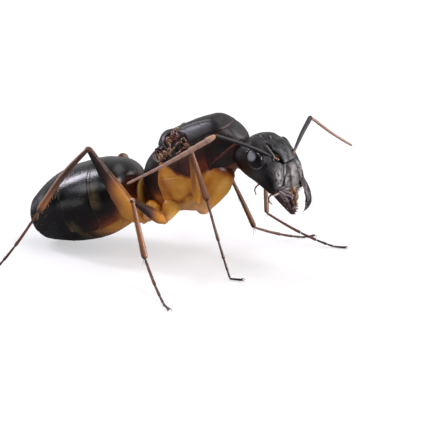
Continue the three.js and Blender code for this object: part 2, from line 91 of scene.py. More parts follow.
PLATES = {
    "mesoscutum": ("wingRoot", "scutumShoulder", "scutumFront", "scutumAir", "scutumRear"),
    "mesoscutellum": ("waistTop", "pleuronTop", "wingRoot", "scutumRear", "scutellumRear"),
    "pronotum": ("pronotumHeel", "pronotumToe", "neckAir", "collarAir", "scutumFront",
                 "scutumShoulder", "shoulderHeel"),
    "propleuron": ("sideFront", "chestFoot", "chestFloor", "neckAir", "pronotumToe",
                   "pronotumHeel"),
    "mesopleuron_upper": ("sideMiddle", "sideFront", "pronotumHeel", "shoulderHeel",
                          "wingRoot", "pleuronTop"),
    "mesopleuron_lower": ("flankFoot", "chestFoot", "sideFront", "sideMiddle"),
    "propodeum": ("waistTail", "flankFoot", "sideMiddle", "pleuronTop", "waistTop",
                  "scutellumRear", "waistAir"),
}
HEAD = {"at": (5.46, -0.3, 7.27), "swing": -15, "lift": -58}
HEAD_FORM = [
    (-1.98, 1.12, 0.55, -1.2, -0.2),
    (-1.5, 1.5, 0.8, -1.76, -0.2),
    (-0.8, 1.8, 1.21, -1.88, -0.05),
    (-0.1, 1.92, 1.4, -1.58, 0.15),
    (0.7, 1.9, 1.38, -0.92, 0.3),
    (1.3, 1.84, 1.17, -0.5, 0.4),
    (1.75, 1.75, 1.0, -0.18, 0.45),
    (2.0, 1.62, 0.86, 0.0, 0.45),
]
EYE = {"at": (-0.57, 1.69, 0.4), "size": (0.58, 0.47, 0.25), "tilt": 64}
CLYPEUS_FORM = [
    (0.5, 0.5, 1.47, 1.0, 1.1),
    (1.0, 0.72, 1.42, 0.88, 1.06),
    (1.6, 0.98, 1.16, 0.6, 0.85),
    (2.1, 1.05, 0.88, 0.43, 0.68),
]
MANDIBLE_AT = (1.72, 1.25, 0.74)
MANDIBLE_POSE = {
    "right": {"closing": 8, "lift": -13, "roll": 32, "bow": 0.08, "stretch": 1.0},
    "left": {"closing": 6, "lift": -10, "roll": 22, "bow": 0.36, "stretch": 1.08},
}
MANDIBLE_OUTER = [(0, -0.62), (0.6, -0.42), (1.13, -0.2), (1.55, 0.0), (1.8, 0.15), (1.93, 0.36)]
MANDIBLE_INNER = [(0, 0.33), (0.33, 0.5), (0.72, 0.64), (1.18, 0.76)]
MANDIBLE_EDGE = [(1.18, 0.76), (1.42, 0.72), (1.70, 0.58), (1.93, 0.36)]
SOCKET = {"right": (0.03, 0.88, 1.29), "left": (0.14, 0.8, 1.31)}
OCELLI = ((-1.41, 0.06), (-1.71, 0.52), (-1.71, -0.44))
SCAPE = 4.2
FUNICULUS = 6.2
ANTENNA_POSE = {
    "right": {"scape": (-158, 19.5), "funiculus": (-154, -28)},
    "left": {"scape": (94, 13), "funiculus": (75, -32)},
}
PETIOLE_AT = (-3.2, 0, 2.75)
PETIOLE_FORM = [
    (0.0, 0.55, 0.6, -0.5, 0.0),
    (0.6, 0.68, 0.58, -0.48, 0.0),
    (1.1, 0.8, 0.38, -0.3, 0.05),
    (1.8, 0.8, 0.28, -0.22, 0.05),
    (2.4, 0.62, 0.2, -0.12, 0.05),
]
GASTER = {"at": (-3.5, 0, 4.45), "lift": 21}
GASTER_FORM = [
    (-8.0, 1.25, 0.92, -1.42, -0.16),
    (-7.2, 1.62, 1.39, -1.76, -0.12),
    (-6.0, 2.2, 2.06, -2.14, -0.03),
    (-4.6, 2.6, 2.47, -2.44, 0.0),
    (-3.0, 2.75, 2.58, -2.51, 0.0),
    (-1.6, 2.62, 2.48, -2.24, 0.0),
    (-0.8, 2.5, 2.24, -1.9, 0.12),
    (0.0, 2.35, 2.2, -1.45, 0.45),
    (0.4, 2.2, 2.1, -1.1, 0.6),
]
LEGS = {
    "fore": {"root": (2.75, 0.85, 7.0), "hip": (1.25, 1.85, 4.7), "coxa": (0.8, 1.0),
             "coxa_tip": (1.2, 1.4, 3.8), "femur": 4.2, "tibia": 3.6, "tarsus": 5.85,
             "left_coxa": ((2.5, 0.75, 6.9), (3.6, 2.5, 6.05), (0.55, 0.55)),
             "right": ((-86, 69), (36, -73), 6), "left": ((101, -14), (-66, -57), 5)},
    "mid": {"root": (-0.6, 0.75, 4.5), "hip": (-1.2, 1.35, 2.92), "coxa": (0.55, 0.6),
            "femur": 4.5, "tibia": 3.7, "tarsus": 4.5,
            "right": ((-100, 34), (-30, -71), -47), "left": ((60, 14), (-31, -49), 40)},
    "hind": {"root": (-1.75, 0.75, 4.0), "hip": (-2.55, 1.5, 2.82), "coxa": (0.55, 0.6),
             "femur": 6.2, "tibia": 5.1, "tarsus": 5.9,
             "right": ((-145, 56), (-138, -48), -155), "left": ((137, 16), (159, -42), 130)},
}
TARSUS_SPAN = 0.96


# ---- Frames ----

class Seat:
    """A place with its own axes: X is swung from the ant's X towards her left, then lifted."""

    def __init__(self, at, swing=0.0, lift=0.0):
        self.at = np.array(at, float)
        turn = math.radians(swing)
        rise = math.radians(lift)
        ahead = (math.cos(rise) * math.cos(turn), math.cos(rise) * math.sin(turn), math.sin(rise))
        aside = np.array([-math.sin(turn), math.cos(turn), 0])
        above = np.cross(ahead, aside)
        self.axes = np.array([ahead, aside, above])

    def out(self, points):
        return self.at + np.asarray(points, float) @ self.axes

    def near(self, points):
        return (np.asarray(points, float) - self.at) @ self.axes.T


def end_of(at, pose, length):
    """Where a limb of this length ends, from its swing and lift."""
    return Seat(at, *pose).out((length, 0, 0))


trunk = Seat(**TRUNK)
head = Seat(**HEAD)
abdomen = Seat(**GASTER)
eye_low, eye_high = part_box("eye_right")
eye_middle = np.array((eye_low + eye_high) / 2) / MM
ORIGIN_SHIFT = eye_middle - head.out(np.array(EYE["at"]) * (1, -1, 1))


# ---- Small functions of shape ----

def soft(value):
    """A smooth step from 0 to 1 while the value goes from 0 to 1."""
    t = np.clip(value, 0, 1)
    return t * t * (3 - 2 * t)


def mound(distance, width):
    """A bell shape around nought, this wide."""
    return np.exp(-(distance / width) ** 2)


def mix(low, high, share):
    """The value this share of the way from low to high."""
    return low + (high - low) * share


def along(places, table):
    """Straight-line values at places, from pairs of place and value."""
    stops = np.array(table, float)
    return np.interp(places, stops[:, 0], stops[:, 1])


def ripple(points, wavelength, seed):
    """A soft irregular swell from about -1 to 1, from a few waves that cross."""
    dice = np.random.default_rng(seed)
    total = np.zeros(len(points))
    for _ in range(7):
        way = dice.normal(size=3)
        way /= np.linalg.norm(way)
        pace = 2 * math.pi / (wavelength * dice.uniform(0.6, 1.6))
        total += np.sin(points @ way * pace + dice.uniform(0, 2 * math.pi))
    return total / 3.5


def between(stations, places):
    """Values on a smooth curve through stations that start with their place."""
    table = np.array(stations, float)
    stops = table[:, 0]
    i = np.clip(np.searchsorted(stops, places) - 1, 0, len(stops) - 2)
    low = table[i]
    high = table[i + 1]
    before = table[np.maximum(i - 1, 0)]
    after = table[np.minimum(i + 2, len(stops) - 1)]
    span = (high - low)[:, :1]
    t = (places[:, None] - low[:, :1]) / span
    leave = (high - before) / (high - before)[:, :1] * span
    arrive = (after - low) / (after - low)[:, :1] * span
    bend = low - high
    return low + t * (leave + t * (-3 * bend - 2 * leave - arrive + t * (2 * bend + leave + arrive)))


def curve(points, count):
    """Even steps along a smooth curve through a few points."""
    points = np.array(points, float)
    knots = np.arange(len(points), dtype=float)
    table = np.column_stack([knots, points])
    return between(table, np.linspace(0, len(points) - 1, count))[:, 1:]


def rounding(distance, length):
    """How much of the full section is left this close to a rounded end."""
    if length <= 0:
        return np.ones_like(distance)
    return np.sqrt(1 - (1 - np.clip(distance / length, 0, 1)) ** 2)


def outline_distance(x, z, corners):
    """Signed distance to a closed outline in side view, negative inside."""
    nearest = np.full(len(x), 1e9)
    inside = np.zeros(len(x), bool)
    for (ax, az), (bx, bz) in zip(corners, corners[1:] + corners[:1]):
        run = bx - ax
        rise = bz - az
        share = np.clip(((x - ax) * run + (z - az) * rise) / (run * run + rise * rise), 0, 1)
        nearest = np.minimum(nearest, np.hypot(x - ax - share * run, z - az - share * rise))
        spans = (az > z) != (bz > z)
        crossing = ax + (z - az) * run / (rise if rise else 1e-9)
        inside ^= spans & (x < crossing)
    return np.where(inside, -nearest, nearest)


# ---- Skins ----

class Skin:
    """A triangle skin. flat is its unwrap, and masks are named values at its points."""

    def __init__(self, points, faces, flat, masks=None):
        self.points = np.asarray(points, float)
        self.faces = np.asarray(faces, int)
        self.flat = np.asarray(flat, float)
        self.masks = dict(masks or {})

    def face_normals(self):
        a, b, c = (self.points[self.faces[:, k]] for k in range(3))
        return np.cross(b - a, c - a)

    def normals(self):
        total = np.zeros_like(self.points)
        flats = self.face_normals()
        for k in range(3):
            for axis in range(3):
                total[:, axis] += np.bincount(
                    self.faces[:, k], flats[:, axis], minlength=len(total))
        return total / np.maximum(np.linalg.norm(total, axis=1, keepdims=True), 1e-12)

    def push(self, amount):
        self.points = self.points + self.normals() * np.asarray(amount)[:, None]
        return self

    def moved(self, seat):
        return Skin(seat.out(self.points), self.faces, self.flat, self.masks)

    def mirrored(self):
        flip = self.points * (1, -1, 1)
        return Skin(flip, self.faces[:, ::-1], self.flat, self.masks)

    def cut(self, field):
        """Keeps the part where the field is negative, with a clean edge where it is zero."""
        inner = field < 0
        count = inner[self.faces].sum(1)
        rows = [self.points, self.flat]
        names = sorted(self.masks)
        rows += [self.masks[name][:, None] for name in names]
        table = np.column_stack(rows)
        extra = []
        known = {}

        def crossing(a, b):
            key = (min(a, b), max(a, b))
            if key not in known:
                share = field[a] / (field[a] - field[b])
                extra.append(table[a] + (table[b] - table[a]) * share)
                known[key] = len(table) + len(extra) - 1
            return known[key]

        kept = [tuple(face) for face in self.faces[count == 3]]
        for face in self.faces[(count > 0) & (count < 3)]:
            while not (inner[face[0]] and not inner[face[2]]):
                face = np.roll(face, 1)
            a, b, c = face
            if inner[b]:
                p = crossing(b, c)
                q = crossing(a, c)
                kept += [(a, b, p), (a, p, q)]
            else:
                kept.append((a, crossing(a, b), crossing(a, c)))
        if extra:
            table = np.vstack([table, extra])
        faces = np.array(kept, int)
        used = np.unique(faces)
        place = np.full(len(table), -1)
        place[used] = np.arange(len(used))
        table = table[used]
        masks = {name: table[:, 5 + k] for k, name in enumerate(names)}
        return Skin(table[:, :3], place[faces], table[:, 3:5], masks)

    def rim_edges(self):
        """Edges with a face on one side only, in the order that the face runs."""
        edges = np.vstack([self.faces[:, [k, (k + 1) % 3]] for k in range(3)])
        low = edges.min(1).astype(np.int64)
        key = low * (len(self.points) + 1) + edges.max(1)
        _, first, counts = np.unique(key, return_index=True, return_counts=True)
        return edges[first[counts == 1]]

    def thickened(self, depth):
        """A closed shell: this skin, an inner one below it, and walls round its open edges."""
        rim = self.rim_edges()
        inner = self.points - self.normals() * depth
        count = len(self.points)
        walls = np.vstack([
            np.column_stack([rim[:, 1], rim[:, 0], rim[:, 0] + count]),
            np.column_stack([rim[:, 1], rim[:, 0] + count, rim[:, 1] + count]),
        ])
        faces = np.vstack([self.faces, self.faces[:, ::-1] + count, walls])
        masks = {name: np.tile(values, 2) for name, values in self.masks.items()}
        return Skin(np.vstack([self.points, inner]), faces, np.tile(self.flat, (2, 1)), masks)


def joined(skins):
    """Several skins as one."""
    start = 0
    faces = []
    for skin in skins:
        faces.append(skin.faces + start)
        start += len(skin.points)
    names = set().union(*[skin.masks for skin in skins])
    masks = {}
    for name in names:
        parts = [skin.masks.get(name, np.zeros(len(skin.points))) for skin in skins]
        masks[name] = np.concatenate(parts)
    points = np.vstack([skin.points for skin in skins])
    return Skin(points, np.vstack(faces), np.vstack([skin.flat for skin in skins]), masks)


def wrapped(rings, closed=(True, True)):
    """A skin over rings of points, which follow each other along its length."""
    rings = np.asarray(rings, float)
    count, sides, _ = rings.shape
    row, column = np.meshgrid(np.arange(count - 1), np.arange(sides), indexing="ij")
    here = (row * sides + column).ravel()
    aside = (row * sides + (column + 1) % sides).ravel()
    faces = [
        np.column_stack([here, aside, here + sides]),
        np.column_stack([aside, aside + sides, here + sides]),
    ]
    points = rings.reshape(-1, 3)
    u, v = np.meshgrid(np.linspace(0, 1, count), (np.arange(sides) + 0.5) / sides, indexing="ij")
    flat = np.column_stack([u.ravel(), v.ravel()])
    k = np.arange(sides)
    for is_closed, base, end in ((closed[0], 0, 0.0), (closed[1], (count - 1) * sides, 1.0)):
        if not is_closed:
            continue
        pole = len(points)
        points = np.vstack([points, points[base + k].mean(0)])
        flat = np.vstack([flat, (end, 0.5)])
        turn = [base + (k + 1) % sides, base + k] if base == 0 else [base + k, base + (k + 1) % sides]
        faces.append(np.column_stack([np.full(sides, pole), *turn]))
    return Skin(points, np.vstack(faces), flat)


def section(sides, squareness):
    """A unit ring, squarer than a circle where squareness is above 2."""
    angle = 2 * math.pi * (np.arange(sides) + 0.5) / sides
    power = 2 / squareness
    c = np.cos(angle)
    s = np.sin(angle)
    return np.sign(c) * np.abs(c) ** power, np.sign(s) * np.abs(s) ** power


def loft(stations, rings, sides, squareness=2.0, start=0.0, end=0.0, span=None, swell=0.0):
    """A body through stations: place, half width, top, bottom, level of greatest width."""
    first = stations[0][0]
    last = stations[-1][0]
    low, high = span or (first, last)
    share = (1 - np.cos(math.pi * np.arange(rings) / (rings - 1))) / 2
    tiny = 1e-4
    place = np.clip(low + (high - low) * share, first + tiny, last - tiny)
    _, half, top, bottom, waist = between(stations, place).T
    size = rounding(place - first, start) * rounding(last - place, end)
    across, upward = section(sides, squareness)
    y = (half * size + swell)[:, None] * across
    reach = np.where(upward > 0, (top - waist)[:, None], (waist - bottom)[:, None])
    z = waist[:, None] + (reach * size[:, None] + swell) * upward
    x = place[:, None] + np.zeros(sides)
    return wrapped(np.stack([x, y, z], axis=2), closed=(span is None, span is None))


def sweep(path, half, depth, sides=24, squareness=2.0, up=(0, 0, 1)):
    """A tube along a path, with a half width and a half depth at each of its points."""
    path = np.asarray(path, float)
    ahead = np.gradient(path, axis=0)
    ahead /= np.linalg.norm(ahead, axis=1, keepdims=True)
    aside = np.cross(np.asarray(up, float), ahead)
    aside /= np.linalg.norm(aside, axis=1, keepdims=True)
    above = np.cross(ahead, aside)
    across, upward = section(sides, squareness)
    half = np.broadcast_to(half, len(path))[:, None, None]
    depth = np.broadcast_to(depth, len(path))[:, None, None]
    rings = (path[:, None] + aside[:, None] * across[None, :, None] * half
             + above[:, None] * upward[None, :, None] * depth)
    return wrapped(rings)


def ball(radii, rings=24, sides=32):
    """An egg-shaped body round the origin."""
    polar = np.linspace(0.02, math.pi - 0.02, rings)[:, None]
    turn = 2 * math.pi * np.arange(sides) / sides
    rx, ry, rz = radii
    x = -np.cos(polar) * rx + 0 * turn
    y = np.sin(polar) * np.cos(turn) * ry
    z = np.sin(polar) * np.sin(turn) * rz
    return wrapped(np.stack([x, y, z], axis=2))


# ---- Finishes ----

class Wiring:
    """Adds shader nodes to a tree. A socket given as an input is linked, and a number is set."""

    def __init__(self, tree):
        self.tree = tree

    def add(self, kind, inputs=None, **settings):
        node = self.tree.nodes.new("ShaderNode" + kind)
        for key, value in settings.items():
            setattr(node, key, value)
        for key, value in (inputs or {}).items():
            if isinstance(value, bpy.types.NodeSocket):
                self.tree.links.new(value, node.inputs[key])
            else:
                node.inputs[key].default_value = value
        return node

    def math(self, operation, a, b=0.0, clamp=False):
        return self.add("Math", {0: a, 1: b}, operation=operation, use_clamp=clamp).outputs[0]

    def blend(self, factor, a, b):
        node = self.add("Mix", {0: factor, 6: a, 7: b}, data_type="RGBA")
        return node.outputs[2]

    def mask(self, name):
        return self.add("Attribute", attribute_name=name).outputs["Fac"]

    def noise(self, per_mm, detail=3.0):
        place = self.add("TexCoord").outputs["Object"]
        inputs = {"Vector": place, "Scale": per_mm / MM, "Detail": detail}
        return self.add("TexNoise", inputs).outputs["Fac"]


def effect(name, inputs, outputs):
    """An empty shader group with number sockets, and its input and output nodes."""
    tree = bpy.data.node_groups.new(name, "ShaderNodeTree")
    for socket, value in inputs.items():
        made = tree.interface.new_socket(socket, in_out="INPUT", socket_type="NodeSocketFloat")
        made.default_value = value
    for socket in outputs:
        tree.interface.new_socket(socket, in_out="OUTPUT", socket_type="NodeSocketFloat")
    wiring = Wiring(tree)
    source = tree.nodes.new("NodeGroupInput")
    target = tree.nodes.new("NodeGroupOutput")
    return wiring, source.outputs, target.inputs


def shell_grain():
    """The fine net of cells, pores and slow swells on insect shell."""
    wiring, given, out = effect(
        "shell_grain", {"Cells": 14.0, "Net": 1.0, "Pores": 0.3}, ("Height", "Mottle"))
    place = wiring.add("TexCoord").outputs["Object"]
    scale = wiring.math("MULTIPLY", given["Cells"], 1 / MM)
    net = wiring.add("TexVoronoi", {"Vector": place, "Scale": scale},
                     feature="DISTANCE_TO_EDGE").outputs["Distance"]
    net = wiring.math("MULTIPLY", net, 3.0, clamp=True)
    pores = wiring.add("TexNoise", {"Vector": place, "Scale": wiring.math("MULTIPLY", scale, 2.2),
                                    "Detail": 2.0}).outputs["Fac"]
    slow = wiring.noise(0.9, 2.0)
    relief = wiring.math("MULTIPLY", net, given["Net"])
    relief = wiring.math("ADD", relief, wiring.math("MULTIPLY", pores, given["Pores"]))
    wiring.tree.links.new(relief, out["Height"])
    wiring.tree.links.new(slow, out["Mottle"])
    return wiring.tree


def uneven_pigment():
    """Breaks up the even change of a pigment, as in real shell."""
    wiring, given, out = effect("uneven_pigment", {"Pigment": 0.5, "Spread": 0.2}, ("Pigment",))
    broad = wiring.math("SUBTRACT", wiring.noise(0.8, 3.0), 0.5)
    fine = wiring.math("SUBTRACT", wiring.noise(6.0, 4.0), 0.5)
    swing = wiring.math("ADD", broad, wiring.math("MULTIPLY", fine, 0.5))
    swing = wiring.math("MULTIPLY", swing, given["Spread"])
    wiring.tree.links.new(wiring.math("ADD", given["Pigment"], swing, clamp=True), out["Pigment"])
    return wiring.tree


def fine_dust():
    """Sparse pale specks and smears that dull the gloss a little."""
    wiring, given, out = effect("fine_dust", {"Amount": 0.5}, ("Dust",))
    specks = wiring.noise(9.0, 5.0)
    patches = wiring.noise(0.7, 2.0)
    field = wiring.math("MULTIPLY", specks, patches)
    field = wiring.math("SUBTRACT", field, 0.3)
    field = wiring.math("MULTIPLY", field, 6.0, clamp=True)
    wiring.tree.links.new(wiring.math("MULTIPLY", field, given["Amount"]), out["Dust"])
    return wiring.tree


GRAIN = shell_grain()
PIGMENT = uneven_pigment()
DUST = fine_dust()


def paint(red, green, blue):
    """A colour given in everyday 0 to 255 steps, as linear light."""
    return tuple((value / 255) ** 2.2 for value in (red, green, blue)) + (1.0,)


BLACK_STOPS = [(0.0, paint(172, 110, 44)), (0.25, paint(122, 66, 28)), (0.5, paint(64, 30, 18)),
               (0.75, paint(28, 16, 16)), (1.0, paint(10, 10, 14))]
AMBER_STOPS = [(0.0, paint(216, 162, 70)), (0.14, paint(192, 128, 40)), (0.3, paint(154, 88, 30)),
               (0.5, paint(92, 44, 26)), (0.7, paint(52, 30, 28)), (0.88, paint(28, 20, 22)),
               (1.0, paint(12, 11, 15))]
LEG_STOPS = [(0.0, paint(206, 140, 50)), (0.25, paint(156, 98, 46)), (0.5, paint(112, 72, 52)),
             (0.72, paint(66, 42, 34)), (1.0, paint(32, 24, 24))]
MANDIBLE_STOPS = [(0.0, paint(112, 60, 44)), (0.45, paint(62, 32, 34)), (0.7, paint(42, 22, 25)),
                  (1.0, paint(9, 9, 11))]
MOUTH_STOPS = [(0.0, paint(216, 186, 142)), (0.5, paint(156, 110, 64)), (1.0, paint(62, 42, 32))]
SCAR_STOPS = [(0.0, paint(200, 186, 168)), (0.2, paint(158, 132, 104)), (0.45, paint(116, 72, 58)),
              (0.7, paint(72, 34, 26)), (0.88, paint(26, 17, 16)), (1.0, paint(7, 6, 7))]
FEELER_STOPS = [(0.0, paint(190, 144, 100)), (0.35, paint(152, 120, 106)), (0.7, paint(112, 84, 72)),
                (1.0, paint(74, 52, 46))]
SCAPE_STOPS = [(0.0, paint(128, 80, 52)), (0.3, paint(90, 74, 66)), (0.7, paint(52, 51, 51)),
               (1.0, paint(22, 22, 23))]
SCALE_STOPS = [(0.0, paint(196, 140, 58)), (0.4, paint(140, 82, 34)), (0.75, paint(84, 44, 24)),
               (1.0, paint(40, 24, 20))]


def shell_finish(name, stops, gloss, cells, relief, coat, spread=0.25, dust=0.3, glow=0.0,
                 rim=paint(150, 104, 60), specular=0.5, edge=0.0, sheen=0.16):
    """Insect shell: a pigment from amber to black, a fine net of cells, and a clear top layer."""
    material = bpy.data.materials.new(name)
    material.use_nodes = True
    wiring = Wiring(material.node_tree)
    shader = material.node_tree.nodes["Principled BSDF"]
    link = material.node_tree.links.new
    mottled = wiring.add("Group", node_tree=PIGMENT)
    link(wiring.mask("pigment"), mottled.inputs["Pigment"])
    mottled.inputs["Spread"].default_value = spread
    shade = mottled.outputs["Pigment"]
    if edge:
        facing = wiring.add("LayerWeight", {"Blend": 0.35}).outputs["Facing"]
        turned = wiring.math("MULTIPLY", wiring.math("POWER", facing, 2.0), edge)
        shade = wiring.math("ADD", shade, turned, clamp=True)
    ramp = wiring.add("ValToRGB", {0: shade})
    ramp.color_ramp.elements[1].position = stops[-1][0]
    ramp.color_ramp.elements[0].color = stops[0][1]
    ramp.color_ramp.elements[1].color = stops[-1][1]
    for position, color in stops[1:-1]:
        ramp.color_ramp.elements.new(position).color = color
    specks = wiring.add("Group", node_tree=DUST)
    specks.inputs["Amount"].default_value = dust
    color = wiring.blend(wiring.mask("rim"), ramp.outputs[0], rim)
    color = wiring.blend(wiring.math("MULTIPLY", specks.outputs["Dust"], 0.35), color,
                         paint(118, 112, 124))
    link(color, shader.inputs["Base Color"])
    grain = wiring.add("Group", node_tree=GRAIN)
    grain.inputs["Cells"].default_value = cells
    rough = wiring.math("MULTIPLY", grain.outputs["Mottle"], 0.22)
    rough = wiring.math("ADD", rough, gloss - 0.11)
    rough = wiring.math("ADD", rough, wiring.math("MULTIPLY", specks.outputs["Dust"], 0.3), clamp=True)
    link(rough, shader.inputs["Roughness"])
    bump = wiring.add("Bump", {"Height": grain.outputs["Height"], "Strength": relief,
                               "Distance": 0.01 * MM})
    link(bump.outputs["Normal"], shader.inputs["Normal"])
    shader.inputs["Coat Weight"].default_value = coat
    shader.inputs["Coat Roughness"].default_value = sheen
    shader.inputs["Specular IOR Level"].default_value = specular
    if glow:
        shader.inputs["Subsurface Weight"].default_value = glow
        shader.inputs["Subsurface Radius"].default_value = (1.0, 0.45, 0.15)
        shader.inputs["Subsurface Scale"].default_value = 0.35 * MM
    return material


FINISHES = {
    "polished_black": shell_finish("polished_black", BLACK_STOPS, 0.25, 16, 0.15, 0.25, spread=0.14,
                                   dust=0.25, rim=paint(128, 112, 66), sheen=0.2),
    # Its rim colour is the painted highlights, sheen and reflections on the head and clypeus, and the pale
    # eye rims.
    "satin_black": shell_finish("satin_black", BLACK_STOPS, 0.31, 9, 0.8, 0.06, spread=0.05,
                                dust=0.35, rim=paint(142, 135, 130), specular=0.5),
    "back_shell": shell_finish("back_shell", AMBER_STOPS, 0.4, 12, 0.35, 0.06, spread=0.1,
                               dust=0.4, rim=paint(96, 58, 50)),
    "flank_shell": shell_finish("flank_shell", AMBER_STOPS, 0.38, 12, 0.3, 0.08, spread=0.25,
                                dust=0.4, glow=0.12, rim=paint(124, 54, 34)),
    "amber_shell": shell_finish("amber_shell", AMBER_STOPS, 0.34, 12, 0.3, 0.14, spread=0.26,
                                glow=0.3, rim=paint(206, 160, 122), edge=0.16),
    "scale_shell": shell_finish("scale_shell", SCALE_STOPS, 0.34, 12, 0.2, 0.12, glow=0.25,
                                rim=paint(200, 152, 84), edge=0.3),
    # Its rim colour is painted highlights: pale lines along the tops of femora and tibiae, and glints on
    # knees and trochanters.
    "leg_shell": shell_finish("leg_shell", LEG_STOPS, 0.36, 16, 0.4, 0.1, spread=0.25, glow=0.1,
                              rim=paint(196, 150, 116), edge=0.25),
    "feeler_shell": shell_finish("feeler_shell", FEELER_STOPS, 0.45, 18, 0.5, 0.0, spread=0.2,
                                 glow=0.08, edge=0.15),
    "scape_shell": shell_finish("scape_shell", SCAPE_STOPS, 0.38, 16, 0.4, 0.05, spread=0.15),
    # Its rim colour is a painted highlight: the pale crescent on the mandibles and the glints on the ocelli.
    "mandible_shell": shell_finish("mandible_shell", MANDIBLE_STOPS, 0.36, 10, 0.9, 0.12,
                                   rim=paint(184, 162, 170)),
    "soft_mouth": shell_finish("soft_mouth", MOUTH_STOPS, 0.4, 14, 0.5, 0.1, glow=0.3),
    "torn_wing": shell_finish("torn_wing", SCAR_STOPS, 0.3, 9, 0.6, 0.3, glow=0.12),
    "joint_skin": shell_finish("joint_skin", SCAR_STOPS, 0.5, 10, 0.5, 0.0, glow=0.05),
}


def facet_finish():
    """The eye: packed facets under a clear dark layer, with a painted pale highlight where the pigment mask
    is low.
    """
    material = bpy.data.materials.new("facet_eye")
    material.use_nodes = True
    wiring = Wiring(material.node_tree)
    shader = material.node_tree.nodes["Principled BSDF"]
    link = material.node_tree.links.new
    place = wiring.add("TexCoord").outputs["Object"]
    cells = wiring.add("TexVoronoi", {"Vector": place, "Scale": 26 / MM, "Randomness": 0.35},
                       feature="F1").outputs["Distance"]
    dome = wiring.math("SUBTRACT", 1.0, wiring.math("MULTIPLY", cells, 1.1), clamp=True)
    # Pale where the pigment mask is low: a painted highlight, not a colour of the facets.
    color = wiring.blend(wiring.mask("pigment"), paint(196, 193, 210), paint(12, 12, 17))
    link(color, shader.inputs["Base Color"])
    link(wiring.math("ADD", wiring.math("MULTIPLY", cells, 0.15), 0.2), shader.inputs["Roughness"])
    bump = wiring.add("Bump", {"Height": dome, "Strength": 0.35, "Distance": 0.012 * MM})
    link(bump.outputs["Normal"], shader.inputs["Normal"])
    shader.inputs["Coat Weight"].default_value = 0.3
    shader.inputs["Coat Roughness"].default_value = 0.12
    return material


def hair_finish(name, root, tip, gloss):
    """A hair's colour, from its root to its tip."""
    material = bpy.data.materials.new(name)
    material.use_nodes = True
    wiring = Wiring(material.node_tree)
    shader = material.node_tree.nodes["Principled BSDF"]
    shade = wiring.math("ADD", wiring.mask("tip"), wiring.math("SUBTRACT", wiring.noise(3.0), 0.5))
    color = wiring.blend(wiring.math("ADD", shade, 0.0, clamp=True), root, tip)
    material.node_tree.links.new(color, shader.inputs["Base Color"])
    rough = wiring.math("ADD", wiring.math("MULTIPLY", wiring.noise(9.0), 0.2), gloss - 0.1)
    material.node_tree.links.new(rough, shader.inputs["Roughness"])
    return material


FINISHES["facet_eye"] = facet_finish()
FINISHES["gold_hair"] = hair_finish("gold_hair", paint(104, 80, 58), paint(196, 172, 136), 0.35)
FINISHES["brown_hair"] = hair_finish("brown_hair", paint(62, 40, 30), paint(118, 86, 64), 0.4)


# ---- Making pieces ----

def piece(name, skin, finish, stands_for=(), smooth=True):
    """A Blender object from a skin in the ant's frame, riding on the body."""
    mesh = bpy.data.meshes.new(name)
    places = (skin.points + ORIGIN_SHIFT) * MM
    mesh.vertices.add(len(places))
    mesh.vertices.foreach_set("co", places.ravel())
    mesh.loops.add(skin.faces.size)
    mesh.loops.foreach_set("vertex_index", skin.faces.ravel())
    mesh.polygons.add(len(skin.faces))
    mesh.polygons.foreach_set("loop_start", np.arange(len(skin.faces)) * 3)
    mesh.polygons.foreach_set("use_smooth", np.full(len(skin.faces), smooth))
    mesh.update(calc_edges=True)
    masks = {"pigment": np.zeros(len(places)), "rim": np.zeros(len(places))} | skin.masks
    for key, values in masks.items():
        layer = mesh.attributes.new(key, "FLOAT", "POINT")
        layer.data.foreach_set("value", np.clip(values, 0, 1))
    mesh.materials.append(FINISHES[finish])
    made = bpy.data.objects.new(name, mesh)
    bpy.context.scene.collection.objects.link(made)
    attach(made, "root")
    if stands_for:
        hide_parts(*stands_for)
    return made


def hairs(name, roots, ways, lengths, flat, finish, width=0.012, bend=0.25, seed=1):
    """Thin tapered hairs as one mesh, each with its unwrap at its root's place."""
    dice = np.random.default_rng(seed)
    count = len(roots)
    steps = np.array([0.0, 0.35, 0.7, 1.0])
    taper = np.array([1.0, 0.85, 0.5, 0.06])
    sag = dice.normal(size=(count, 3)) * bend
    sag -= ways * (sag * ways).sum(1, keepdims=True)
    lengths = lengths[:, None, None]
    spine = (roots[:, None] + ways[:, None] * steps[None, :, None] * lengths
             + sag[:, None] * (steps ** 2)[None, :, None] * lengths)
    side = np.cross(ways, dice.normal(size=(count, 3)))
    side /= np.maximum(np.linalg.norm(side, axis=1, keepdims=True), 1e-9)
    other = np.cross(ways, side)
    angle = 2 * math.pi * np.arange(3) / 3
    ring = (side[:, None] * np.cos(angle)[None, :, None]
            + other[:, None] * np.sin(angle)[None, :, None]) * width
    points = spine[:, :, None] + ring[:, None] * taper[None, :, None, None]
    points = points.reshape(count, 12, 3)
    faces = []
    for level in range(3):
        for k in range(3):
            here = level * 3 + k
            aside = level * 3 + (k + 1) % 3
            faces += [(here, aside, here + 3), (aside, aside + 3, here + 3)]
    faces += [(2, 1, 0), (9, 10, 11)]
    faces = np.array(faces)
    all_faces = (faces[None] + 12 * np.arange(count)[:, None, None]).reshape(-1, 3)
    tip = np.tile(np.repeat(steps, 3), count)
    patch = np.stack([np.tile(np.arange(3) / 2, 4), np.repeat(steps, 3)], axis=1) * 0.003
    unwrap = (flat[:, None] + patch[None]).reshape(-1, 2)
    skin = Skin(points.reshape(-1, 3), all_faces, unwrap, {"tip": tip})
    made = piece(name, skin, finish)
    layer = made.data.uv_layers.new(name="OFBake")
    layer.data.foreach_set("uv", unwrap[all_faces.ravel()].ravel())
    return made


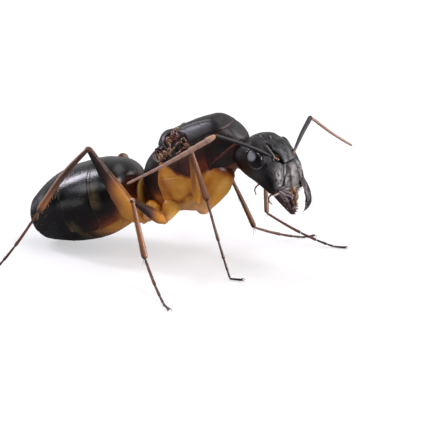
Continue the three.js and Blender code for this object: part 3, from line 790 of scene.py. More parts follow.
def scatter(skin, count, seed, where=None):
    """Random places on a skin: points, normals and unwrap places. where weighs its faces."""
    dice = np.random.default_rng(seed)
    flats = skin.face_normals()
    area = np.linalg.norm(flats, axis=1)
    middles = skin.points[skin.faces].mean(1)
    weight = area if where is None else area * np.maximum(where(middles), 0)
    chosen = dice.choice(len(area), size=count, p=weight / weight.sum())
    a, b = dice.random((2, count, 1))
    over = a + b > 1
    a = np.where(over, 1 - a, a)
    b = np.where(over, 1 - b, b)
    corners = skin.points[skin.faces[chosen]]
    spots = corners[:, 0] + (corners[:, 1] - corners[:, 0]) * a + (corners[:, 2] - corners[:, 0]) * b
    normals = flats[chosen] / area[chosen][:, None]
    return spots, normals, skin.flat[skin.faces[chosen][:, 0]] * 0.99


def leaning(normals, flow, stand, seed):
    """Hair directions between the skin's normals and the way that the coat lies."""
    dice = np.random.default_rng(seed)
    flow = np.asarray(flow, float)
    lie = flow - normals * (normals * flow).sum(1, keepdims=True)
    lie /= np.maximum(np.linalg.norm(lie, axis=1, keepdims=True), 1e-9)
    ways = normals * stand + lie * (1 - stand) + dice.normal(size=normals.shape) * 0.15
    return ways / np.linalg.norm(ways, axis=1, keepdims=True)


# ---- Camera, light and floor ----

def camera_and_light():
    """The view from her right side and a little above, under wide soft lamps."""
    look = Seat((0, 0, 0), swing=20)
    tip = math.radians(20)
    ahead = look.axes[1] * math.cos(tip) - look.axes[2] * math.sin(tip)
    right = look.axes[0]
    up = np.cross(right, ahead)
    aim = right * 1.935 + up * 2.516
    place = (aim - ahead * 120 + ORIGIN_SHIFT) * MM
    data = bpy.data.cameras.new("camera")
    data.lens = 152.2
    data.clip_start = 0.01
    camera = bpy.data.objects.new("camera", data)
    camera.matrix_world = Matrix([
        [right[k], up[k], -ahead[k], place[k]] for k in range(3)] + [[0, 0, 0, 1]])
    bpy.context.scene.collection.objects.link(camera)
    bpy.context.scene.camera = camera
    lamps = {
        "high_window": ((-0.76, 0.06, 0.62), 170, (34, 84), 19.0, (0.92, 0.88, 1.0)),
        "shoulder_screen": ((-0.62, -0.52, 0.60), 180, (70, 50), 3.4, (0.92, 0.93, 1.0)),
        "flank_screen": ((-0.66, -0.72, 0.02), 190, (80, 60), 1.2, (1.0, 0.97, 0.98)),
        "face_screen": ((0.93, 0.16, 0.10), 180, (150, 60), 17.0, (1.0, 0.95, 0.99)),
        "brow_screen": ((0.66, 0.56, 0.48), 180, (60, 60), 8.5, (0.97, 0.94, 1.0)),
        "collar_screen": ((0.50, -0.18, 0.85), 180, (70, 60), 8.0, (1.0, 0.95, 1.0)),
        "top_screen": ((0.05, 0.40, 0.91), 200, (110, 90), 1.6, (0.98, 0.97, 1.0)),
        "tail_screen": ((-0.98, 0.16, -0.02), 190, (90, 36), 1.6, (0.95, 0.95, 1.0)),
    }
    for name, (way, distance, size, level, color) in lamps.items():
        lamp = bpy.data.lights.new(name, "AREA")
        lamp.shape = "RECTANGLE"
        lamp.size = size[0] * MM
        lamp.size_y = size[1] * MM
        lamp.energy = level * math.pi * lamp.size * lamp.size_y
        lamp.color = color
        made = bpy.data.objects.new(name, lamp)
        way = Vector(way).normalized()
        made.location = Vector((0, 0, 5 * MM)) + way * distance * MM
        made.rotation_mode = "QUATERNION"
        made.rotation_quaternion = (-way).to_track_quat("-Z", "Y")
        bpy.context.scene.collection.objects.link(made)


def sky_and_floor():
    """A pale room, brighter behind the ant where her edges mirror it, and a pale floor."""
    world = bpy.data.worlds.new("room")
    bpy.context.scene.world = world
    world.use_nodes = True
    wiring = Wiring(world.node_tree)
    rays = wiring.add("LightPath")
    background = world.node_tree.nodes["Background"]
    way = wiring.add("TexCoord").outputs["Generated"]
    behind = wiring.add("VectorMath", {0: way, 1: (-0.34, 0.93, 0.1)}, operation="DOT_PRODUCT")
    behind = wiring.math("MULTIPLY", wiring.math("SUBTRACT", behind.outputs["Value"], 0.45), 2.2,
                         clamp=True)
    mirrored = wiring.add("Mix", {0: behind, 2: 0.04, 3: 0.55}).outputs[0]
    level = wiring.add("Mix", {0: rays.outputs["Is Glossy Ray"], 2: 0.5, 3: mirrored})
    strength = wiring.add("Mix", {0: rays.outputs["Is Camera Ray"], 2: level.outputs[0], 3: 1.0})
    world.node_tree.links.new(strength.outputs[0], background.inputs["Strength"])
    background.inputs["Color"].default_value = (1, 1, 1, 1)

    mesh = bpy.data.meshes.new("floor")
    half = 1.5
    mesh.from_pydata([(-half, -half, 0), (half, -half, 0), (half, half, 0), (-half, half, 0)], [],
                     [(0, 1, 2, 3)])
    floor = bpy.data.objects.new("floor", mesh)
    bpy.context.scene.collection.objects.link(floor)
    material = bpy.data.materials.new("pale_floor")
    material.use_nodes = True
    wiring = Wiring(material.node_tree)
    shader = material.node_tree.nodes["Principled BSDF"]
    rays = wiring.add("LightPath")
    seen = wiring.blend(rays.outputs["Is Camera Ray"], (0.5, 0.5, 0.5, 1), (0.48, 0.48, 0.48, 1))
    color = wiring.blend(rays.outputs["Is Glossy Ray"], seen, (0.12, 0.115, 0.115, 1))
    material.node_tree.links.new(color, shader.inputs["Base Color"])
    lit = wiring.blend(rays.outputs["Is Camera Ray"], (0, 0, 0, 1), (0.42, 0.42, 0.425, 1))
    material.node_tree.links.new(lit, shader.inputs["Emission Color"])
    shader.inputs["Emission Strength"].default_value = 1.0
    shader.inputs["Roughness"].default_value = 0.9
    shader.inputs["Specular IOR Level"].default_value = 0.0
    mesh.materials.append(material)


# ---- Trunk ----

FORE_SCAR = (0.34, 2.36)
HIND_SCAR = (-1.12, 2.03)


def seam_places(points):
    """Side-view places on the trunk, bent a little so that no seam is a ruled line."""
    x, y, z = points.T
    across = x + 0.05 * y * y + 0.07 * np.sin(1.9 * z + 0.6) + 0.02 * np.sin(5.3 * z)
    height = z + 0.06 * np.sin(1.6 * x + 0.4) + 0.02 * np.sin(4.7 * x)
    return across, height


def scar_distance(points, centre, length, height, turn):
    """Distance to an oval field on the trunk's flank, negative inside."""
    dx = points[:, 0] - centre[0]
    dz = points[:, 2] - centre[1]
    c, s = math.cos(turn), math.sin(turn)
    reach = np.hypot((dx * c + dz * s) / length, (dz * c - dx * s) / height)
    return (reach - 1) * min(length, height)


def trunk_pigment(points):
    """Amber on the chest and lower flank, through red-brown to black on the back."""
    x, _, z = points.T
    level = along(x, [(-2.6, 2.4), (-1.6, 2.1), (-1.1, 1.5), (-0.7, 1.05), (-0.39, 0.52), (0.0, 0.24),
                      (0.3, 0.12), (0.9, 0.05), (1.3, 0.05), (1.7, 0.12), (2.0, -0.3), (3.4, -1.4)])
    level = level + 0.05 * ripple(points, 0.7, 12)
    tone = 0.64 + 0.22 * soft((z - 1.1) / 0.9) + 0.08 * soft((x - 0.9) / 0.6)
    spot = 0.22 * mound(np.hypot((x + 0.02) / 0.6, z - 0.95), 0.2)
    amber = 0.17 + 0.05 * ripple(points, 0.9, 13)
    amber = amber - 0.15 * mound(np.hypot(x + 0.75, (z + 0.5) / 1.3), 0.5)
    amber = amber - 0.12 * mound(np.hypot(x - 1.5, (z + 0.35) / 1.4), 0.4)
    amber = amber + 0.16 * mound(x - 0.45 + 0.35 * z, 0.2) + 0.12 * mound(x + 1.6, 0.2)
    amber = amber + 0.2 * mound(z + 1.12 + 0.1 * np.sin(4 * x), 0.14) - 0.08 * soft((-1.35 - z) / 0.3)
    amber = amber + 0.12 * mound(z - level, 0.2)
    # Paler low at the front of the flank: a painted reflection of the pale floor.
    tone = tone - 0.22 * mound(np.hypot(x - 2.75, (z - 0.35) / 1.2), 0.5)
    return mix(amber, tone + spot, soft((z - level) / 0.36 + 0.5))


def trunk_blush(points):
    """Pale tan where the flank turns back, and along the foot of the flank."""
    x, _, z = points.T
    tan = 0.2 * mound(x + 1.15, 0.42) * soft((z + 0.5) / 0.8) * (1 - soft((z - 1.0) / 0.3))
    tan = tan + 0.55 * soft((-1.3 - z) / 0.3)
    return tan


def trunk_ember(points):
    """The red-brown glow low on the dark flank."""
    x, _, z = points.T
    return 0.62 * mound(np.hypot((x - 1.45) / 2.2, z - 0.42), 0.36)


def trunk_relief(points):
    """Furrows, the hump of the scutellum and the pits behind it."""
    x, y, z = points.T
    side = np.abs(y)
    on_top = soft((z - 2.0) / 0.5)
    stretch = soft((x - 0.4) / 0.4) * (1 - soft((x - 2.6) / 0.5))
    lift = -0.04 * mound(side - 0.62 - 0.06 * x, 0.05) * on_top * stretch
    lift += -0.02 * mound(y, 0.04) * on_top * soft((x - 1.6) / 0.8)
    lift += 0.07 * mound(x + 0.75, 0.38) * mound(y, 0.8) * on_top
    lift += -0.10 * mound(x + 0.22 - 0.05 * y * y, 0.07) * on_top
    lift += -0.12 * mound(x + 1.42, 0.09) * soft((z - 1.7) / 0.4)
    flank = soft((side - 1.0) / 0.3)
    line = along(z, [(-1.6, 1.0), (-0.6, 0.62), (0.2, 0.16), (0.6, -0.16), (1.05, -0.53), (1.7, -0.95)])
    below = soft((z + 1.7) / 0.4)
    lift += -0.07 * mound(x - line, 0.06) * flank * below * soft((1.8 - z) / 0.3)
    swell = soft((x - line) / 0.25) * (1 - soft((x - 1.6) / 0.5))
    lift += 0.04 * swell * flank * below * soft((1.6 - z) / 0.4)
    lift += 0.10 * mound(np.hypot(x + 0.85, (z + 0.45) / 1.5), 0.75) * flank
    lift += -0.10 * mound(z + 1.15 - 0.5 * x * (x > -1.5), 0.1) * flank * mound(x + 1.2, 0.7)
    lift += -0.05 * mound(np.hypot((x + 0.02) / 0.6, z - 0.95), 0.14) * flank
    lift += -0.05 * mound(x - 0.78 - 0.12 * z, 0.06) * flank * (1 - soft((z - 0.6) / 0.5))
    lift += 0.012 * ripple(points, 1.6, 5)
    return lift


def trunk_pieces():
    """The trunk's plates as closed shells over a dark lining, open where the wings were."""
    whole = loft(TRUNK_FORM, 250, 240, squareness=2.3, start=0.5, end=0.45)
    whole.push(trunk_relief(whole.points))
    pigment = trunk_pigment(whole.points)
    across, height = seam_places(whole.points)
    x, y, z = whole.points.T
    scars = np.minimum(scar_distance(whole.points, FORE_SCAR, 0.86, 0.5, -0.42),
                       scar_distance(whole.points, HIND_SCAR, 0.62, 0.4, -0.5))
    scars = np.where(np.abs(y) > 0.45, scars, 1.0) + 0.03 * ripple(whole.points, 0.5, 8)
    tones = {"mesoscutum": 0.98, "mesoscutellum": 0.95, "pronotum": 0.88, "propodeum": 0.92,
             "propleuron": 0.78}
    finishes = {"mesoscutum": "back_shell", "mesoscutellum": "back_shell", "pronotum": "back_shell",
                "mesopleuron_lower": "amber_shell"}
    blush = trunk_blush(whole.points)
    ember = trunk_ember(whole.points)
    for name, seams in PLATES.items():
        amber = name.startswith("mesopleuron")
        fade = 1 - amber * soft((1.7 - np.abs(x + 0.7)) / 0.4) * soft((1.0 - np.abs(z - 0.4)) / 0.4)
        crisp = name in ("mesoscutum", "mesoscutellum", "propodeum")
        gap = 0.001 if amber else 0.008
        edge = 0.02 if amber else (0.07 if crisp else 0.045)
        distance = outline_distance(across, height, [SEAM[seam] for seam in seams])
        distance = np.maximum(distance, 0.04 - scars)
        inward = np.clip(-(distance + gap), 0, edge)
        roundoff = edge - np.sqrt(edge ** 2 - (edge - inward) ** 2)
        bead = 0.02 * mound(inward - edge, 0.05) if name == "mesoscutum" else 0
        plate = Skin(whole.points, whole.faces, whole.flat)
        plate.push(bead - 0.6 * roundoff * fade)
        close = np.exp(-np.clip(-distance, 0, 1) / 0.06)
        tone = np.full(len(x), tones.get(name, 0.0))
        if name == "propodeum":
            tone -= 0.5 * soft((0.5 - z) / 1.2) * soft((x + 3.2) / 0.6)
            tone -= 0.12 * mound(np.hypot(x + 2.55, z + 0.3), 0.45)
        elif name == "pronotum":
            tone -= 0.14 * soft((1.1 - z) / 0.8) + 0.05 * ripple(whole.points, 1.2, 9)
        elif name == "propleuron":
            tone -= 0.35 * soft((-0.15 - z) / 0.25)
        elif name == "mesoscutum":
            tone -= 0.10 * mound(np.hypot(x - 3.75, (z - 2.2) / 0.8), 0.4)
        else:
            tone = pigment
        plate.masks["pigment"] = tone
        rims = {"mesopleuron_lower": blush, "mesopleuron_upper": ember,
                "mesoscutum": 0.3 * close, "pronotum": 0.15 * close}
        plate.masks["rim"] = rims.get(name, 0.25 * close)
        plate = plate.cut(distance + gap).thickened(0.12)
        piece(name, plate.moved(trunk), finishes.get(name, "flank_shell"),
              stands_for=(name,))
    lining = loft(TRUNK_FORM, 120, 120, squareness=2.3, start=0.5, end=0.45)
    lining.push(np.full(len(lining.points), -0.14))
    lining.masks["pigment"] = np.full(len(lining.points), 0.9)
    piece("trunk_lining", lining.moved(trunk), "joint_skin")


def neck_piece():
    """The neck between the collar and the back of the head."""
    start = trunk.out((3.6, 0, 0.75))
    end = head.out((-1.3, 0, -0.7))
    path = curve([start, mix(start, end, 0.5), end], 40)
    fold = 1 + 0.04 * np.sin(np.linspace(0, 9 * math.pi, 40))
    skin = sweep(path, 0.5 * fold, 0.48 * fold, 48)
    skin.masks["pigment"] = np.full(len(skin.points), 0.9)
    piece("neck", skin, "joint_skin")


def flank(x, z):
    """How far out the trunk's side is at these places."""
    _, half, top, bottom, waist = between(TRUNK_FORM, np.atleast_1d(np.asarray(x, float))).T
    z = np.atleast_1d(np.asarray(z, float))
    reach = np.where(z > waist, top - waist, waist - bottom)
    share = np.clip(np.abs(z - waist) / reach, 0, 0.999)
    return half * (1 - share ** 2.3) ** (1 / 2.3)


def wing_scar(side, sign):
    """The torn bases of both wings on one side: lobes, broken veins, pits and pale folds."""
    parts = []
    lobes = [
        ((0.28, 2.66), 0.02, (0.34, 0.17, 0.25), -0.6, 0.58),
        ((-0.18, 2.52), 0.0, (0.24, 0.15, 0.36), 0.1, 0.5),
        ((0.42, 2.95), 0.02, (0.22, 0.10, 0.12), -0.3, 0.3),
        ((0.96, 2.5), -0.02, (0.26, 0.10, 0.14), -0.7, 0.8),
        ((1.0, 1.98), 0.06, (0.2, 0.12, 0.12), -0.3, 0.4), ((0.72, 1.84), 0.08, (0.2, 0.1, 0.09), 0.1, 0.7),
        ((-0.28, 2.02), 0.05, (0.17, 0.12, 0.22), 0.3, 0.45),
        ((-0.62, 1.98), 0.08, (0.14, 0.13, 0.22), 0.2, 0.4),
        ((-0.92, 1.86), 0.06, (0.13, 0.12, 0.26), 0.1, 0.3),
        ((-1.18, 1.82), 0.04, (0.12, 0.1, 0.24), -0.1, 0.35),
        ((-1.2, 2.24), 0.0, (0.2, 0.12, 0.13), 0.5, 0.65), ((-1.5, 1.95), 0.0, (0.12, 0.1, 0.2), -0.4, 0.6),
        ((-0.8, 2.3), 0.0, (0.16, 0.1, 0.1), 0.2, 0.75),
    ]
    for k, ((x, z), out, radii, turn, tone) in enumerate(lobes):
        lobe = ball(radii, 34, 44)
        lobe.push(0.045 * ripple(lobe.points, 0.30, 40 + k) + 0.02 * ripple(lobe.points, 0.11, 60 + k))
        lobe.masks["pigment"] = np.clip(tone + 0.16 * ripple(lobe.points, 0.25, 80 + k), 0.05, 0.95)
        c, s = math.cos(turn), math.sin(turn)
        px, py, pz = lobe.points.T
        lobe.points = np.column_stack([px * c - pz * s, py, px * s + pz * c])
        lobe.points += (x, flank(x, z)[0] - 0.1 + out, z)
        parts.append(lobe)
    veins = [
        ([(-0.05, 2.0), (0.27, 2.2), (0.6, 2.3), (0.92, 2.42)], 0.06, 0.05, 0.2),
        ([(-0.28, 2.55), (-0.1, 2.38), (-0.12, 2.15), (-0.32, 1.9), (-0.22, 1.6)], 0.07, 0.035, 0.08),
        ([(0.16, 2.98), (0.3, 2.86), (0.36, 2.72)], 0.12, 0.025, 0.02),
        ([(0.42, 3.0), (0.5, 2.86), (0.52, 2.74)], 0.12, 0.025, 0.05),
        ([(0.94, 2.5), (1.06, 2.3), (1.16, 2.1), (1.22, 1.85)], 0.04, 0.04, 0.12),
        ([(0.78, 2.28), (0.86, 2.1), (1.02, 1.96)], 0.06, 0.03, 0.1),
        # This pale vein low under the fore scar is a painted highlight streak.
        ([(0.15, 1.74), (0.4, 1.78), (0.62, 1.88)], 0.1, 0.035, 0.1),
        ([(0.3, 1.9), (0.5, 2.0), (0.66, 2.08)], 0.02, 0.025, 0.3),
        ([(-1.6, 2.14), (-1.5, 1.86), (-1.34, 1.66), (-1.2, 1.72)], 0.05, 0.035, 0.1),
        ([(-1.42, 2.3), (-1.3, 2.16), (-1.26, 2.02)], 0.08, 0.025, 0.15),
        ([(-1.02, 2.28), (-0.95, 2.1), (-0.82, 1.98)], 0.1, 0.03, 0.25),
        ([(-1.1, 2.06), (-1.08, 1.9), (-1.16, 1.7)], 0.12, 0.035, 0.2),
        ([(-0.86, 2.1), (-0.84, 1.9), (-0.9, 1.66)], 0.12, 0.03, 0.22),
        ([(-0.6, 2.2), (-0.5, 2.02), (-0.34, 1.8)], 0.08, 0.03, 0.12),
    ]
    for k, (route, out, thick, tone) in enumerate(veins):
        flat = curve(route, 44)
        path = np.column_stack([flat[:, 0], flank(flat[:, 0], flat[:, 1]) - 0.02 + out, flat[:, 1]])
        path += 0.03 * np.stack([ripple(path, 0.25, 100 + 3 * k + a) for a in range(3)], axis=1)
        size = 0.8 * thick * (1 + 0.45 * ripple(path, 0.2, 130 + k))
        nearest_end = np.minimum(np.linspace(0, 1, 44), np.linspace(1, 0, 44))
        size = size * np.sqrt(np.clip(nearest_end / 0.1, 0.03, 1))
        vein = sweep(path, size, size * 0.7, 12, up=(0, 1, 0))
        vein.masks["pigment"] = np.clip(tone + 0.08 + 0.25 * ripple(vein.points, 0.3, 150 + k), 0, 1)
        parts.append(vein)
    for k, ((x, z), radii, turn) in enumerate([
            ((0.42, 2.02), (0.42, 0.05, 0.17), 0.35), ((0.84, 2.24), (0.16, 0.05, 0.12), -0.6),
            ((-1.05, 2.36), (0.34, 0.05, 0.08), -0.2), ((-0.72, 2.02), (0.1, 0.05, 0.2), 0.3),
            ((-1.36, 1.9), (0.08, 0.05, 0.2), -0.3)]):
        pit = ball(radii, 20, 30)
        c, s = math.cos(turn), math.sin(turn)
        px, py, pz = pit.points.T
        pit.points = np.column_stack([px * c - pz * s, py, px * s + pz * c])
        pit.points += (x, flank(x, z)[0] - 0.03, z)
        # Black blobs for the pits: painted shade in place of their depth.
        pit.masks["pigment"] = np.full(len(pit.points), 1.0)
        parts.append(pit)
    skin = joined(parts)
    if sign < 0:
        skin = skin.mirrored()
    piece(f"wing_scar_{side}", skin.moved(trunk), "torn_wing",
          stands_for=(f"wing_root_{side}",))


def collar_flange(side, sign):
    """The thin red hem along the lower edge of the collar."""
    flat = curve([(1.98, 0.26), (2.5, 0.44), (3.1, 0.62), (3.7, 0.80), (4.02, 0.88)], 60)
    out = flank(flat[:, 0], flat[:, 1])
    path = np.column_stack([flat[:, 0], (out + 0.02) * sign, flat[:, 1]])
    ends = np.sqrt(np.clip(np.sin(np.linspace(0, math.pi, 60)), 0.01, 1))
    hem = sweep(path, 0.05 * ends, 0.085 * ends, 20, up=(0, 0, 1))
    hem.masks["pigment"] = 0.62 + 0.1 * ripple(hem.points, 0.8, 17)
    piece(f"collar_hem_{side}", hem.moved(trunk), "torn_wing")


# ---- Head ----

def crevice_line(x):
    """Distance from the face's middle to the cleft beside each frontal plate."""
    return along(x, [(-1.1, 0.76), (-0.98, 0.77), (-0.6, 0.83), (-0.28, 0.81), (0.02, 0.76), (0.46, 0.66)])


def flange_line(x):
    """Distance from the face's middle to the thin upright crest outside that cleft."""
    return along(x, [(-1.1, 0.86), (-0.98, 0.88), (-0.7, 0.96), (-0.36, 0.99), (-0.05, 0.98)])


def eye_seat(sign):
    """The eye's own frame inside the head's: X along it and Z out of it."""
    tilt = math.radians(EYE["tilt"])
    aside = np.array([0, math.cos(tilt), -math.sin(tilt) * sign])
    outward = np.array([0, math.sin(tilt) * sign, math.cos(tilt)])
    seat = Seat((EYE["at"][0], EYE["at"][1] * sign, EYE["at"][2]))
    seat.axes = np.array([(1, 0, 0), aside, outward])
    return seat


def head_relief(points):
    """Frontal plates, clefts, crests, sockets, orbits and cheeks."""
    x, y, z = points.T
    side = np.abs(y)
    face = soft((z - 0.45) / 0.4)
    cleft = crevice_line(x)
    stretch = soft((x + 1.3) / 0.45) * (1 - soft((x - 0.40) / 0.14))
    lift = 0.07 * soft((cleft - side) / 0.08) * stretch * face
    lift += 0.06 * np.clip(1 - ((side - 0.40) / 0.40) ** 2, 0, 1) * stretch * face
    depth = along(x, [(-1.1, 0.0), (-0.95, 0.09), (-0.6, 0.17), (-0.3, 0.30), (0.05, 0.36), (0.3, 0.18),
                      (0.5, 0.07), (0.62, 0.0)])
    width = along(x, [(-1.1, 0.03), (-0.6, 0.045), (-0.3, 0.08), (0.05, 0.12), (0.3, 0.07), (0.5, 0.04)])
    lift -= depth * mound(side - cleft - 0.5 * width, width) * face
    crest = flange_line(x)
    tall = np.where(y < 0, 0.14, 0.0) * soft((x + 1.12) / 0.25) * (1 - soft((x + 0.14) / 0.2))
    inside = np.where(side < crest, 0.035, 0.14)
    lift += tall * mound(side - crest, inside) * face
    lift -= 0.20 * mound(np.hypot(x - 0.02, side - 0.88), 0.14) * face
    lift += 0.035 * mound(np.hypot(x - 0.02, side - 0.9) - 0.26, 0.05) * face * soft((side - 0.8) / 0.1)
    lift -= 0.02 * mound(y, 0.05) * face * soft((x + 1.25) / 0.3) * (1 - soft((x - 0.45) / 0.1))
    lift -= 0.03 * mound(x - 0.55 + 0.08 * side, 0.04) * face * (1 - soft((side - 0.62) / 0.1))
    valley = along(x, [(0.5, 0.72), (0.9, 0.86), (1.34, 0.97), (1.8, 1.02)])
    lower = soft((x - 0.5) / 0.15) * face
    lift -= 0.07 * mound(side - valley, 0.12) * lower
    lift += 0.06 * mound(np.hypot((x - 1.1) / 1.9, side - 1.26), 0.26) * face
    rough = mound(np.hypot((x - 1.1) / 2.0, side - 1.22), 0.3) * face
    lift += 0.014 * rough * ripple(points, 0.16, 23) + 0.02 * rough * ripple(points, 0.4, 24)
    lift -= 0.04 * mound(x - 1.84, 0.05) * soft((side - 0.9) / 0.2)
    for sign in (-1, 1):
        near = eye_seat(sign).near(points)
        reach = np.hypot(near[:, 0] / EYE["size"][0], near[:, 1] / EYE["size"][1])
        close = (y * sign > 0).astype(float)
        lift -= 0.06 * mound(reach - 1.0, 0.07) * close
        lift += 0.02 * mound(reach - 1.15, 0.07) * close
    for place in OCELLI:
        spot = np.hypot(x - place[0], y - place[1])
        lift -= 0.035 * mound(spot - 0.13, 0.05) * soft((z - 0.1) / 0.3)
        lift -= 0.03 * mound(np.hypot(x - place[0] - 0.12, y - place[1]), 0.08) * soft((z - 0.1) / 0.3)
    lift += 0.007 * ripple(points, 0.9, 21)
    return lift


def head_pale(points):
    """Where the head is painted paler: a painted highlight on the near frontal crest, painted sheen on the
    rough cheek patches, painted reflections on the rear margins and low on the cheeks, and the pale eye rims.
    """
    x, y, z = points.T
    side = np.abs(y)
    face = soft((z - 0.45) / 0.4)
    # Painted highlight on the lit face of the near frontal crest.
    crest = mound(side - flange_line(x) - 0.03, 0.06) * soft((x + 1.05) / 0.2) * (1 - soft((x + 0.12) / 0.15))
    # Painted sheen on the rough cheek patch.
    cheek = mound(np.hypot((x - 1.1) / 2.0, side - 1.22), 0.3)
    cheek = cheek * soft(0.5 + 0.8 * ripple(points, 0.35, 25))
    pale = 0.5 * crest * face * (y < 0) + 0.5 * cheek * face
    # Painted reflection on the rear margin at each side of the head.
    pale = pale + 0.22 * mound(np.hypot(x + 1.35, (z + 0.8) / 1.5), 0.3) * soft((side - 1.0) / 0.3)
    # Painted reflection of the pale floor low on each cheek.
    pale = pale + 0.1 * mound(np.hypot(x - 0.4, z - 0.1), 0.45) * soft((side - 1.5) / 0.2)
    for sign in (-1, 1):
        near = eye_seat(sign).near(points)
        reach = np.hypot(near[:, 0] / EYE["size"][0], near[:, 1] / EYE["size"][1])
        below = soft(0.4 + near[:, 0] / EYE["size"][0])
        pale = pale + 0.16 * mound(reach - 1.15, 0.05) * (y * sign > 0) * below
    return pale


def head_pieces():
    """Head capsule, face plate above the jaws, eyes, ocelli and the pale skin at the jaws."""
    capsule = loft(HEAD_FORM, 300, 380, squareness=2.2, start=0.5, end=0.25)
    pale = head_pale(capsule.points)
    capsule.push(head_relief(capsule.points))
    x, y, z = capsule.points.T
    capsule.masks["pigment"] = 1 - 0.45 * soft((x - 1.8) / 0.2) * soft((np.abs(y) - 0.8) / 0.3)
    # The rim mask here holds the painted highlights, sheen and reflections from head_pale, with the pale eye
    # rims.
    capsule.masks["rim"] = pale
    piece("head", capsule.moved(head), "satin_black", stands_for=("head",))

    clypeus = loft(CLYPEUS_FORM, 140, 160, squareness=2.6, start=0.15, end=0.1)
    x, y, z = clypeus.points.T
    top = soft((z - 0.75) / 0.2)
    lobe = 0.09 * soft((0.52 - np.abs(y)) / 0.22) * top * soft((x - 0.55) / 0.2)
    lobe = lobe + 0.03 * mound(y, 0.3) * top
    valley = -0.04 * mound(np.abs(y) - 0.64, 0.14) * top
    hem = 0.03 * mound(x - 2.03, 0.04)
    clypeus.push(lobe + valley + hem + 0.008 * ripple(clypeus.points, 0.4, 31))
    clypeus.masks["pigment"] = 1 - 0.5 * soft((x - 1.95) / 0.15)
    # Paler over the raised middle of the clypeus: a painted highlight.
    clypeus.masks["rim"] = 0.5 * mound(y + 0.12, 0.52) * top * (0.75 + 0.35 * ripple(clypeus.points, 0.5, 32))
    piece("clypeus", clypeus.moved(head), "satin_black", stands_for=("clypeus",))

    for side, sign in SIDES.items():
        eye = ball(EYE["size"], 64, 96)
        eye.points = eye_seat(sign).out(eye.points)
        if sign < 0:
            eye.faces = eye.faces[:, ::-1]
        placed = eye.moved(head)
        # A painted highlight: each eye is paler on its side facing up, back and outward, fixed in its colour.
        spread = placed.points - placed.points.mean(axis=0)
        facing = spread @ np.array((-0.46, 0.76 * sign, 0.46)) / np.linalg.norm(spread, axis=1)
        placed.masks["pigment"] = 1 - 0.42 * soft((facing - 0.5) / 0.5)
        piece(f"eye_{side}", placed, "facet_eye", stands_for=(f"eye_{side}",))

    normals = capsule.normals()
    beads = []
    for place in OCELLI:
        bead = ball((0.085, 0.085, 0.085), 24, 32)
        gap = np.hypot(capsule.points[:, 0] - place[0], capsule.points[:, 1] - place[1])
        near = np.argmin(gap + 10 * (capsule.points[:, 2] < 0))
        bead.points = bead.points + capsule.points[near] - normals[near] * (0.03 + 0.06 * (place[1] > 0.3))
        bead.masks["pigment"] = np.full(len(bead.points), 0.9)
        # A painted glint: some of mandible_shell's pale rim colour over each ocellus.
        bead.masks["rim"] = np.full(len(bead.points), 0.25)
        beads.append(bead)
    piece("ocelli", joined(beads).moved(head), "mandible_shell")

    skins = []
    for sign in SIDES.values():
        route = [(1.9, 1.76 * sign, 0.3), (1.97, 1.7 * sign, 0.56), (1.95, 1.52 * sign, 0.78)]
        path = curve(route, 50)
        size = 0.05 * np.sqrt(np.clip(np.sin(np.linspace(0, math.pi, 50)), 0.01, 1))
        skin = sweep(path, size, size * 0.8, 16)
        skin.push(0.01 * ripple(skin.points, 0.2, 33))
        skins.append(skin)
    piece("jaw_skin", joined(skins).moved(head), "joint_skin")
    return capsule


